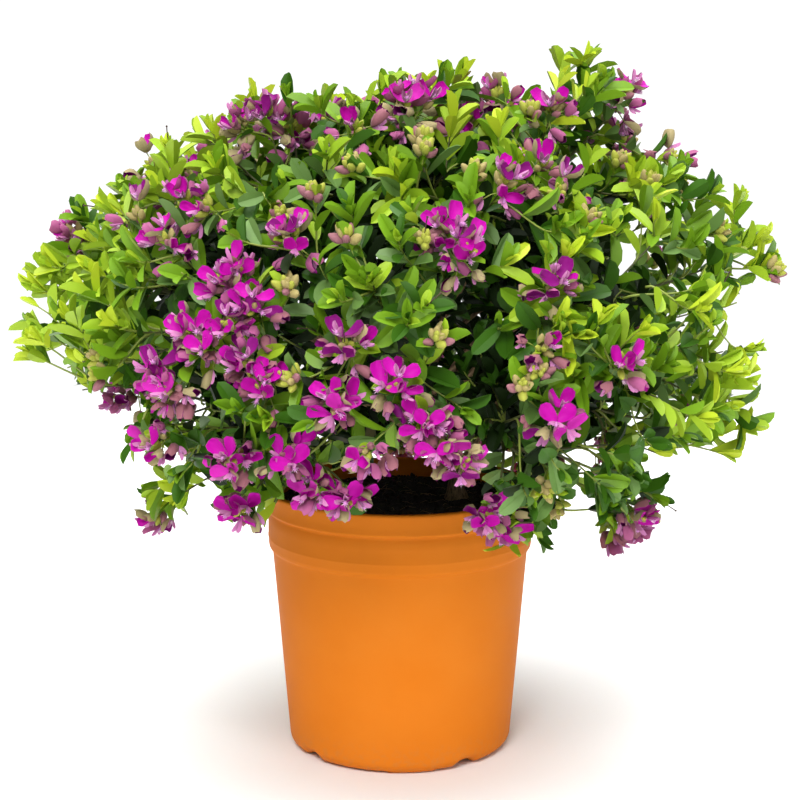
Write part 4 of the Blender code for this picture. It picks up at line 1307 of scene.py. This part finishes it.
@functools.cache
def leafy_crown(shoot_count, inner_count, length, width):
    """Shoots that have room, and their placed leaves by colour and form, clear of what shows in front."""
    _, _, _, twigs, shoots = grown_crown(shoot_count, inner_count)
    carriers = list(enumerate([*twigs, *shoots]))
    rows = [row for number, shoot in carriers for row in shoot_leaves(number, shoot, length, width)]
    roots, along, facing, sizes, tones, forms, owners = (np.array(item) for item in zip(*rows))
    bad = np.zeros(len(roots), bool)
    for share in (0.25, 0.5, 0.75, 1.0):  # along each leaf
        points = roots + along * sizes[:, 1, None] * share
        bad |= in_pot_or_window(points) | in_gap(points)
    bad |= past_reach(roots + along * sizes[:, 1, None])
    middle = roots + along * sizes[:, 1, None] * LEAF_MIDDLE
    bad |= in_hollow(middle)
    seen = on_front_plane(middle)
    eye = np.array(EYE)
    for number, shoot in carriers:
        if shoot.kind not in HEAD_ROOM:
            continue
        room = HEAD_ROOM[shoot.kind]
        heart = np.array(shoot.tip() + shoot.way() * HEART_AHEAD)
        others = owners != number
        bad |= others & (np.linalg.norm(middle - heart, axis=1) < room)
        if heart[1] < FRONT_HALF:
            spot = on_front_plane(heart[None])[0]
            before = np.linalg.norm(middle - eye, axis=1) < np.linalg.norm(heart - eye)
            covers = np.hypot(seen[:, 0] - spot[0], seen[:, 2] - spot[2]) < room
            bad |= before & covers & others
    kept = []
    for number, shoot in carriers:
        own = owners == number
        if shoot.kind not in ("head", "closed") and own.any() and bad[own].mean() > 1 - FEWEST_LEFT:
            bad[own] = True
        else:
            kept.append((number, shoot))
    places = placed(roots, along, facing, sizes)
    return kept, len(twigs), places[~bad], tones[~bad], forms[~bad]


# Flowers


def rotation(angle, axis):
    return np.array(Matrix.Rotation(angle, 4, axis))


def scaled(*sizes):
    return np.diag((*sizes, 1.0))


def aged_angle(values, age, dice):
    """An angle in radians, from degrees at age 0, what age 1 adds, and a random scatter."""
    first, added, scatter = values
    return math.radians(first + added * age + dice.uniform(-scatter, scatter))


def stood(across, along, facing, place):
    """The matrix that stands a shape at a place, its own axes along three given ones."""
    found = np.eye(4)
    for column, way in enumerate((across, along, facing, place)):
        found[:3, column] = way
    return found


class FlowerHeap:
    """Heaps of petal parts by colour, which flowers are added to."""

    def __init__(self, settings):
        self.settings = settings
        self.inner, self.outer = wing_shapes()
        self.boat = egg_shape(4, lambda along: 0.45 + 0.65 * along, 0.12)  # a blunt keel, narrow at its root
        self.fringe = tuft_shape()
        self.tongue = leaf_shape(0.5, -0.25, 1.0)
        self.bud = egg_shape(6, lambda along: 1.12 - 0.48 * along * along, 0.0)  # plump, and pointed
        self.parts = {}
        self.stalks = []

    def put(self, tone, shape, place):
        """Adds a copy of a shape, in one of the colours."""
        self.parts.setdefault(tone, {}).setdefault(id(shape), (shape, []))[1].append(place)

    def heap(self, tone):
        heap = Heap()
        for shape, places in self.parts[tone].values():
            heap.add(shape, np.array(places))
        return heap

    def add_stalk(self, start, end, radius, sag):
        middle = start.lerp(end, 0.5) + Vector((0, 0, sag))
        self.stalks.append(([start, middle, end], [radius, radius * 0.9, radius * 1.1]))

    def add_flower(self, base, outward, up, age, dice):
        """One flower at the end of its stalk. Age runs from 0, just open, to 1, closed and fading."""
        s = self.settings
        outward = outward.normalized()
        across = up.cross(outward).normalized()
        home = stood(across, outward.cross(across), outward, base)
        size = dice.uniform(0.84, 1.12) * (1.0 - 0.14 * age)
        side = aged_angle(WING_SIDE, age, dice)
        yaw = aged_angle(WING_YAW, age, dice)
        pitch = aged_angle(WING_PITCH, age, dice)
        # Older wings are violet, and so is a share of the young ones: partly their own colour, partly painted
        # shade.
        if age > 0.5:
            inner_tone = "violet"
        else:
            inner_tone = dice.choice(("magenta", "magenta", "magenta", "rose", "violet"))
        outer_tone = dice.choice(("back", "faded", "olive") if age > 0.3 else ("back", "back", "olive"))
        long = s.wing_length * size
        for hand in (-1, 1):
            lean = dice.uniform(-0.12, 0.12)
            turn = rotation(pitch + lean, "X") @ rotation(-hand * side + lean, "Z")
            turn = turn @ rotation(-hand * yaw, "Y")
            wing = scaled(s.wing_width * size * (1.0 - 0.30 * age), long, long * (1.0 + 0.7 * age))
            place = home @ turn @ wing
            self.put(inner_tone, self.inner, place)
            self.put(outer_tone, self.outer, place)
        keel = home @ rotation(aged_angle(KEEL_DROOP, age, dice), "X")
        long = s.keel_length * size * (1.0 - 0.2 * age)
        self.put("keel", self.boat, keel @ scaled(long * 0.40, long, long * 0.50))
        fringe = keel.copy()
        fringe[:3, 3] = (keel @ np.array((0, long * 0.80, 0, 1)))[:3]
        brush = TUFT_ACROSS * size
        self.put("tuft", self.fringe, fringe @ rotation(-0.3, "X") @ scaled(brush, brush * 0.8, brush))
        for hand in (-1, 1):
            bend = rotation(aged_angle(PETAL_BEND, age, dice), "X")
            turn = bend @ rotation(-hand * dice.uniform(0.15, 0.5), "Z")
            long = PETAL_LENGTH * size
            place = home @ turn @ scaled(PETAL_WIDTH * size, long, long)
            self.put("petal", self.tongue, place)

    def add_head(self, number, shoot):
        """A short cluster: open flowers round its axis, older ones hanging below, buds at its top."""
        dice = random.Random(f"{SEED} head {number}")
        tip, way = shoot.tip(), shoot.way()
        outward = (tip - CENTRE).normalized()
        ages = [0.0] * dice.choice((1, 2, 2, 3)) + [0.25, 0.5, *dice.sample((0.6, 0.8, 0.9, 1.0, 1.0), 3)]
        if shoot.kind == "closed":
            ages = [0.45, 0.7, 0.85, 1.0, 1.0]
        turn = dice.uniform(0, math.tau)
        for i, age in enumerate(ages):
            turn += GOLDEN_ANGLE
            polar = aged_angle(FLOWER_POLAR, i / (len(ages) - 1), dice)
            out = way * math.cos(polar) + side_way(way, turn) * math.sin(polar)
            if out.dot(outward) < -0.10:  # it would grow back into the crown
                out = (out - outward * (out.dot(outward) - 0.2)).normalized()
            sag = Vector((0, 0, -0.15 - 0.75 * age))
            start = tip - way * (0.001 + FLOWER_STEP * i)
            stalk = self.settings.stalk * dice.uniform(0.75, 1.2) * (1 + 0.3 * age)
            base = start + (out + sag * 0.7).normalized() * stalk
            self.add_stalk(start, base, STALK_RADIUS, 0.0008)
            roll = dice.uniform(-0.55, 0.55) + age * dice.uniform(-1.2, 1.2)
            facing = (out * 0.9 + outward * 0.25 + sag).normalized()
            up = Vector((0, 0, 1)) + outward * 0.3
            if abs(facing.dot(up.normalized())) > 0.9:
                up = way + side_way(way, 0.0) * 0.4
            self.add_flower(base, facing, Matrix.Rotation(roll, 3, facing) @ up, age, dice)
        self.add_buds(number, shoot, dice.choice((4, 5, 6)), 0.85)

    def add_buds(self, number, shoot, buds, size):
        """Closed buds packed round a shoot's tip, the smallest at the top."""
        dice = random.Random(f"{SEED} buds {number}")
        tip, way = shoot.tip(), shoot.way()
        turn = dice.uniform(0, math.tau)
        for i in range(buds):
            turn += GOLDEN_ANGLE
            grown = (i + 1) / buds
            polar = aged_angle(BUD_POLAR, grown, dice)
            out = way * math.cos(polar) + side_way(way, turn) * math.sin(polar) + Vector((0, 0, 0.10))
            out.normalize()
            start = tip - way * (0.001 + 0.006 * grown)
            base = start + out * (0.0012 + 0.0016 * grown)
            long = self.settings.bud_length * size * (0.72 + 0.36 * grown) * dice.uniform(0.9, 1.1)
            self.add_stalk(start, base + out * 0.0005, BUD_STALK_RADIUS, 0.0)
            last = "bud_green" if grown < 0.6 else "bud_pink"
            tone = dice.choice(("bud_green", "bud_straw", last))
            facing = out.orthogonal().normalized()
            thick = long * 0.56
            self.put(tone, self.bud, stood(out.cross(facing) * thick, out * long, facing * thick, base))


# Operators


class SHRUB_OT_pot(bpy.types.Operator):
    """Builds the moulded pot with its lip, collar, tapered body and arched foot"""

    bl_idname = "shrub.pot"
    bl_label = "Pot"

    def profile(self, s):
        """From the middle of the floor up the inner side, over the lip and down to the underside."""
        top = s.height
        lip_bottom = top - s.lip_depth
        ridge = top - 0.0350  # the collar's raised line
        collar_bottom = top - s.collar_depth
        rim, collar, shoulder = s.rim_radius, s.collar_radius, s.shoulder_radius

        def body(height):
            return s.foot_radius + (shoulder - s.foot_radius) * height / collar_bottom

        def near(radius, height, *steps):
            """Points that stand off a corner of the pot by steps in millimetres."""
            return [(radius + out / 1000, height + up / 1000) for out, up in steps]

        inner = [
            (0.0, FLOOR_TOP),
            (0.030, FLOOR_TOP),
            (body(FLOOR_TOP) - 0.0065, FLOOR_TOP),
            (body(0.013) - s.wall, 0.013),
            (body(0.080) - s.wall, 0.080),
            (shoulder - s.wall, collar_bottom),
            (collar - s.wall, lip_bottom - 0.004),
            (collar - s.wall, top - 0.009),
            (rim - s.lip_thickness - 0.0003, top - 0.0022),
        ]
        round_in = arc((rim - s.lip_thickness + 0.0007, top - 0.0012), 0.0012, math.pi, math.pi / 2, 4)
        round_out = arc((rim - 0.0018, top - 0.0018), 0.0018, math.pi / 2, 0, 5)
        lip = [
            *near(rim, top, (-0.05, -3.0), (-0.4, -6.2), (-0.5, -9.2)),
            *near(rim, lip_bottom, (-0.3, 3.2), (-0.05, 1.8), (0, 1.1), (-0.2, 0.5), (-1.0, -0.1)),
            *near(collar, lip_bottom, (-0.8, -0.4), (-1.4, -1.2), (-1.0, -2.6), (-0.2, -5.2)),
        ]
        ring = [
            *near(collar, ridge, (0, 10.0), (0, 1.6), (0.18, 0.9), (0.2, 0.3), (0.1, -0.3), (-0.1, -1.2)),
            *near(collar, collar_bottom, (-0.2, 5.0), (-0.5, 3.2), (-1.0, 2.2)),
            *near(shoulder, collar_bottom, (1.2, 1.5), (0.4, 0.9), (-0.1, 0.1), (-0.1, -1.4)),
        ]
        walls = [(body(z), z) for z in (0.130, 0.110, 0.090, 0.070, 0.050, 0.034, 0.022, 0.014)]
        foot = arc((body(s.foot_round) - s.foot_round, s.foot_round), s.foot_round, 0, -math.pi / 2, 9)
        inside = foot[-1][0]
        under = [(inside - 0.004, 0.0), (inside - 0.0055, 0.0012), (0.030, 0.0014), (0.0, 0.0014)]
        return [*inner, *round_in, *round_out, *lip, *ring, *walls, *foot, *under], len(inner)

    def lift(self, s, bearing):
        """How far the foot's edge stands off the ground at a bearing: arches, and low pads between."""

        def apart(first):
            """The angle to the nearest of four like places, the first of them at a bearing in degrees."""
            places = [math.radians(first) + math.tau * i / 4 for i in range(4)]
            return min(abs((bearing - place + math.pi) % math.tau - math.pi) for place in places)

        if apart(PAD_BEARING) < PAD_HALF:
            return 0.0
        share = apart(ARCH_BEARING) * s.foot_radius / (s.arch_width / 2)
        return max(FOOT_GAP, s.arch_height * (1 - share**2.4))

    def execute(self, context):
        s = context.scene.shrub_pot
        profile, outer_from = self.profile(s)
        shape, skin = turned_shape(profile, POT_SIDES, outer_from)
        top = s.foot_round * 1.5
        inside = s.foot_radius - FOOT_BAND
        for vert in shape.verts:
            if vert[skin] and vert.co.z < top and vert.co.xy.length > inside:
                bearing = math.atan2(vert.co.y, vert.co.x)
                vert.co.z += self.lift(s, bearing) * (1 - vert.co.z / top)
        plastic = moulded_polypropylene(s)
        place_piece("moulded_pot", mesh_from(shape, "pot"), plastic, ["pot"])
        return {"FINISHED"}


class SHRUB_OT_compost(bpy.types.Operator):
    """Fills the pot with lumpy peat, with loose crumbs and fibres on it"""

    bl_idname = "shrub.compost"
    bl_label = "Compost"

    def execute(self, context):
        s = context.scene.shrub_compost
        shares = [i / PEAT_RINGS for i in range(PEAT_RINGS + 1)]
        levels = [(PEAT_EDGE * i / PEAT_RINGS, s.level - s.sink * t**4) for i, t in enumerate(shares)]
        # Down the wall and back over the floor, where it doesn't show
        down = [(0.0911, 0.1700), (0.0880, 0.1433), (0.0773, 0.0135), (0.0720, 0.0074), (0.0, 0.0074)]
        shape, _ = turned_shape([*levels, *down], PEAT_SIDES)
        dice = random.Random(SEED + 3)

        def lumps(x, y):
            coarse = noise.fractal(Vector((x * 75, y * 75, 2.0)), 0.8, 2.1, 5)
            fine = noise.noise(Vector((x * 420, y * 420, 7.0)))
            return s.roughness * (0.75 * coarse + 0.30 * fine)

        def surface(x, y, out):
            """Height of the peat at a place that stands so far out from the pot's axis."""
            return s.level - s.sink * (out / PEAT_EDGE) ** 4 + lumps(x, y)

        def somewhere(reach):
            """A place within a reach of the pot's axis, and how far out it is."""
            out = reach * math.sqrt(dice.random())
            bearing = dice.uniform(0, math.tau)
            return out * math.cos(bearing), out * math.sin(bearing), out

        for vert in shape.verts:
            out = vert.co.xy.length
            on_top = vert.co.z > s.level - s.sink - 0.0005 and out < PEAT_EDGE + 0.00005
            if on_top:
                fade = min(1.0, (PEAT_EDGE - out) / PEAT_FADE)
                vert.co.z += lumps(vert.co.x, vert.co.y) * fade
        peat = damp_peat(s)
        place_piece("peat_surface", mesh_from(shape, "peat"), peat, ["compost"])

        gathered = {"dark": [], "dry": []}
        for _ in range(s.crumbs):
            x, y, out = somewhere(CRUMB_EDGE)
            size = dice.uniform(*(SMALL_CRUMBS if dice.random() < SMALL_SHARE else LARGE_CRUMBS))
            turn = Matrix.Rotation(dice.uniform(0, math.tau), 4, Vector((dice.uniform(-1, 1), 1, 0.4)))
            sizes = (size * dice.uniform(0.7, 1.5), size, size * dice.uniform(0.5, 0.9), 1)
            stand = Matrix.Translation((x, y, surface(x, y, out) + size * 0.2))
            place = np.array(stand @ turn @ Matrix.Diagonal(sizes))
            gathered["dry" if dice.random() < DRY_SHARE else "dark"].append(place)
        dry = dry_matter("dry_peat_crumb", s.dry, 0.95)
        for name, tone, material in (("peat_crumbs", "dark", peat), ("dry_crumbs", "dry", dry)):
            heap = Heap()
            heap.add(crumb_shape(), np.array(gathered[tone]))
            place_piece(name, heap.mesh(name), material)

        runs = []
        for _ in range(s.fibres):
            x, y, _ = somewhere(FIBRE_START)
            heading = dice.uniform(0, math.tau)
            length = dice.uniform(*FIBRE_LENGTHS)
            points = []
            for i in range(6):
                out = math.hypot(x, y)
                if out < FIBRE_EDGE:
                    points.append((x, y, surface(x, y, out) + 0.0004 + 0.0008 * math.sin(math.pi * i / 5)))
                heading += dice.uniform(-0.22, 0.22)
                x += length / 5 * math.cos(heading)
                y += length / 5 * math.sin(heading)
            if len(points) > 2:
                runs.append((points, [dice.uniform(*FIBRE_RADII)] * len(points)))
        straw = dry_matter("dry_peat_fibre", s.fibre, 0.9)
        place_piece("peat_fibres", tubes("fibres", runs, 0), straw)
        return {"FINISHED"}


def current_leaves(context):
    crown = context.scene.shrub_crown
    return leafy_crown(crown.shoots, crown.inner_shoots, crown.leaf_length, crown.leaf_width)


class SHRUB_OT_limbs(bpy.types.Operator):
    """Builds the trunk and boughs with furrowed bark"""

    bl_idname = "shrub.limbs"
    bl_label = "Trunk and boughs"

    def execute(self, context):
        s = context.scene.shrub_wood
        crown = context.scene.shrub_crown
        trunk, boughs, stems, _, _ = grown_crown(crown.shoots, crown.inner_shoots)
        span = TRUNK_TIP.z - TRUNK_FOOT.z
        radii = []
        for point in trunk:
            height = point.z - TRUNK_FOOT.z
            taper = s.trunk_radius + (s.trunk_tip_radius - s.trunk_radius) * height / span
            flare = (s.flare_radius - s.trunk_radius) * max(0.0, 1 - height / s.flare_height) ** 2
            radii.append(taper + flare)
        sunk = trunk[0] - Vector((0, 0, 0.004))  # the trunk's foot reaches a little into the peat
        runs = [([sunk, *trunk], [radii[0], *radii])]
        for bough in boughs:
            swollen = tapered(s.bough_radius, s.stem_radius, len(bough))
            swollen[0] *= 1.5  # each bough thickens towards the trunk
            swollen[1] *= 1.3
            runs.append((bough, swollen))
        mesh = tubes("limbs", runs, 5)
        lay_grain(mesh, runs)
        for vert in mesh.vertices:
            place = vert.co
            # Furrows about 1 mm across and 6 mm long, and knots of about 6 mm
            furrow = noise.noise(Vector((place.x * 900, place.y * 900, place.z * 160)))
            knot = noise.noise(place * 160)
            vert.co = place + vert.normal * (s.relief * (furrow + 0.6 * knot))
        bark = furrowed_bark(s)
        place_piece("trunk_and_boughs", mesh, bark, ["trunk", *BOUGHS])
        stem_runs = [(stem, tapered(s.stem_radius, s.twig_radius, len(stem))) for stem in stems]
        wood = green_wood("stem", s.twig)
        place_piece("crown_stems", tubes("stems", stem_runs, 1), wood, MASSES)
        return {"FINISHED"}


class SHRUB_OT_shoots(bpy.types.Operator):
    """Builds the twigs and fine shoots that carry leaves and flowers"""

    bl_idname = "shrub.shoots"
    bl_label = "Twigs and shoots"

    def execute(self, context):
        s = context.scene.shrub_wood
        kept, twig_count, _, _, _ = current_leaves(context)
        twigs = []
        shoots = []
        for number, shoot in kept:
            thick = s.twig_radius if number < twig_count else s.shoot_radius
            run = (shoot.points, tapered(thick, s.tip_radius, len(shoot.points)))
            (twigs if number < twig_count else shoots).append(run)
        wood = green_wood("twig", s.twig)
        place_piece("main_twigs", tubes("twigs", twigs, 1), wood, MASSES)
        young = green_wood("shoot", s.shoot)
        place_piece("fine_shoots", tubes("shoots", shoots, 0), young, MASSES)
        dry = dry_matter("dry_style", context.scene.shrub_flower.thread, 0.8)
        styles = [self.style(shoot, number) for number, shoot in kept[::STYLE_EVERY] if shoot.kind != "inner"]
        place_piece("dry_styles", tubes("styles", styles, 0), dry, MASSES)
        return {"FINISHED"}

    def style(self, shoot, number):
        """A dry style left over from an old flower: a thin curved thread with a bead at its end."""
        dice = random.Random(f"{SEED} style {number}")
        root, way = shoot.tip() - shoot.way() * 0.002, shoot.way()
        aside = Vector([dice.uniform(-1, 1) for _ in range(3)])
        points = [root]
        for _ in range(7):
            way = (way + aside * 0.13).normalized()
            points.append(points[-1] + way * dice.uniform(0.0020, 0.0027))
        points.extend((points[-1] + way * 0.0007, points[-1] + way * 0.0014))
        thread, bead, end = 0.0004, 0.0008, 0.0003
        return points, [thread] * 8 + [bead, end]


class SHRUB_OT_leaves(bpy.types.Operator):
    """Grows the leaves along the shoots, in six greens"""

    bl_idname = "shrub.leaves"
    bl_label = "Leaves"

    def execute(self, context):
        crown = context.scene.shrub_crown
        _, _, places, tones, forms = current_leaves(context)
        shapes = [leaf_shape(*form) for form in LEAF_FORMS]
        for tone in ("lime", "bright", "mid", "deep", "dark", "grey"):
            heap = Heap()
            for form, shape in enumerate(shapes):
                heap.add(shape, places[(tones == tone) & (forms == form)])
            material = waxy_leaf(tone, getattr(crown, tone))
            place_piece(f"leaves_{tone}", heap.mesh(tone), material, MASSES)
        return {"FINISHED"}


class SHRUB_OT_flowers(bpy.types.Operator):
    """Adds flower heads and clusters of buds at the tips of their shoots"""

    bl_idname = "shrub.flowers"
    bl_label = "Flowers and buds"

    def execute(self, context):
        s = context.scene.shrub_flower
        heaps = FlowerHeap(s)
        for number, shoot in current_leaves(context)[0]:
            if shoot.kind in ("head", "closed"):
                heaps.add_head(number, shoot)
            elif shoot.kind == "buds":
                heaps.add_buds(number, shoot, 10, 1.0)
        for tone in heaps.parts:
            material = soft_petal(tone, getattr(s, tone))
            place_piece(f"flower_{tone}", heaps.heap(tone).mesh(tone), material, MASSES)
        wood = green_wood("stalk", context.scene.shrub_wood.shoot)
        place_piece("flower_stalks", tubes("stalks", heaps.stalks, 0), wood, MASSES)
        return {"FINISHED"}


class SHRUB_OT_stage(bpy.types.Operator):
    """Sets up the pale floor, the soft studio light and the camera"""

    bl_idname = "shrub.stage"
    bl_label = "Stage"

    def execute(self, context):
        s = context.scene.shrub_stage
        scene = context.scene
        shape = bmesh.new()
        bmesh.ops.create_circle(shape, cap_ends=True, segments=128, radius=1.35)
        floor = bpy.data.objects.new("studio_floor", mesh_from(shape, "floor"))
        floor.data.materials.append(matt_floor(s.floor))
        scene.collection.objects.link(floor)

        world = bpy.data.worlds.new("white_surround")
        world.use_nodes = True
        tree = world.node_tree
        background = tree.nodes["Background"]
        background.inputs["Color"].default_value = (1.0, 1.0, 1.0, 1.0)
        way = add_node(tree, "ShaderNodeTexCoord").outputs["Generated"]
        height = add_node(tree, "ShaderNodeSeparateXYZ", inputs={"Vector": way}).outputs["Z"]
        strength = remapped(tree, height, 0.01, 0.14, s.walls, s.ceiling)
        tree.links.new(strength, background.inputs["Strength"])
        scene.world = world

        for name, place, size, power in (  # in metres and watts
            ("key_light", (-0.3, -2.0, 1.7), 1.0, 48.0),
            ("fill_light", (1.4, -1.6, 0.9), 1.0, 8.0),
            ("top_light", (0.0, 0.2, 5.0), 7.0, 560.0),
        ):
            lamp = bpy.data.lights.new(name, "AREA")
            lamp.shape = "DISK"
            lamp.size = size
            lamp.energy = power
            light = bpy.data.objects.new(name, lamp)
            light.location = place
            towards = Vector((0, 0, 0.28)) - Vector(place)
            light.rotation_euler = towards.to_track_quat("-Z", "Y").to_euler()
            scene.collection.objects.link(light)

        lens = bpy.data.cameras.new("photo_camera")
        lens.lens = s.lens
        lens.sensor_width = 36.0
        lens.clip_start = 0.05
        camera = bpy.data.objects.new("photo_camera", lens)
        camera.location = EYE
        camera.rotation_euler = (math.pi / 2 - s.tilt, 0.0, 0.0)
        scene.collection.objects.link(camera)
        scene.camera = camera
        scene.view_settings.view_transform = "Standard"
        return {"FINISHED"}


class SHRUB_PT_panel(bpy.types.Panel):
    """Lists the steps that build the shrub"""

    bl_idname = "SHRUB_PT_panel"
    bl_label = "Potted milkwort"
    bl_space_type = "VIEW_3D"
    bl_region_type = "UI"
    bl_category = "Milkwort"

    def draw(self, context):
        for operator, settings in STEPS:
            self.layout.operator(operator.bl_idname)
            if settings:
                box = self.layout.box()
                group = getattr(context.scene, settings)
                for field in group.__annotations__:
                    box.prop(group, field)


GROUPS = {
    "shrub_pot": PotSettings,
    "shrub_compost": CompostSettings,
    "shrub_wood": WoodSettings,
    "shrub_crown": CrownSettings,
    "shrub_flower": FlowerSettings,
    "shrub_stage": StageSettings,
}
STEPS = (
    (SHRUB_OT_pot, "shrub_pot"),
    (SHRUB_OT_compost, "shrub_compost"),
    (SHRUB_OT_limbs, "shrub_wood"),
    (SHRUB_OT_shoots, None),
    (SHRUB_OT_leaves, "shrub_crown"),
    (SHRUB_OT_flowers, "shrub_flower"),
    (SHRUB_OT_stage, "shrub_stage"),
)


def register():
    for group in GROUPS.values():
        bpy.utils.register_class(group)
    for operator, _ in STEPS:
        bpy.utils.register_class(operator)
    bpy.utils.register_class(SHRUB_PT_panel)
    for name, group in GROUPS.items():
        setattr(bpy.types.Scene, name, bpy.props.PointerProperty(type=group))


def unregister():
    for name in GROUPS:
        delattr(bpy.types.Scene, name)
    bpy.utils.unregister_class(SHRUB_PT_panel)
    for operator, _ in STEPS:
        bpy.utils.unregister_class(operator)
    for group in GROUPS.values():
        bpy.utils.unregister_class(group)


def main():
    register()
    bpy.ops.shrub.pot()
    bpy.ops.shrub.compost()
    bpy.ops.shrub.limbs()
    bpy.ops.shrub.shoots()
    bpy.ops.shrub.leaves()
    bpy.ops.shrub.flowers()
    bpy.ops.shrub.stage()


if __name__ == "__main__":
    main()
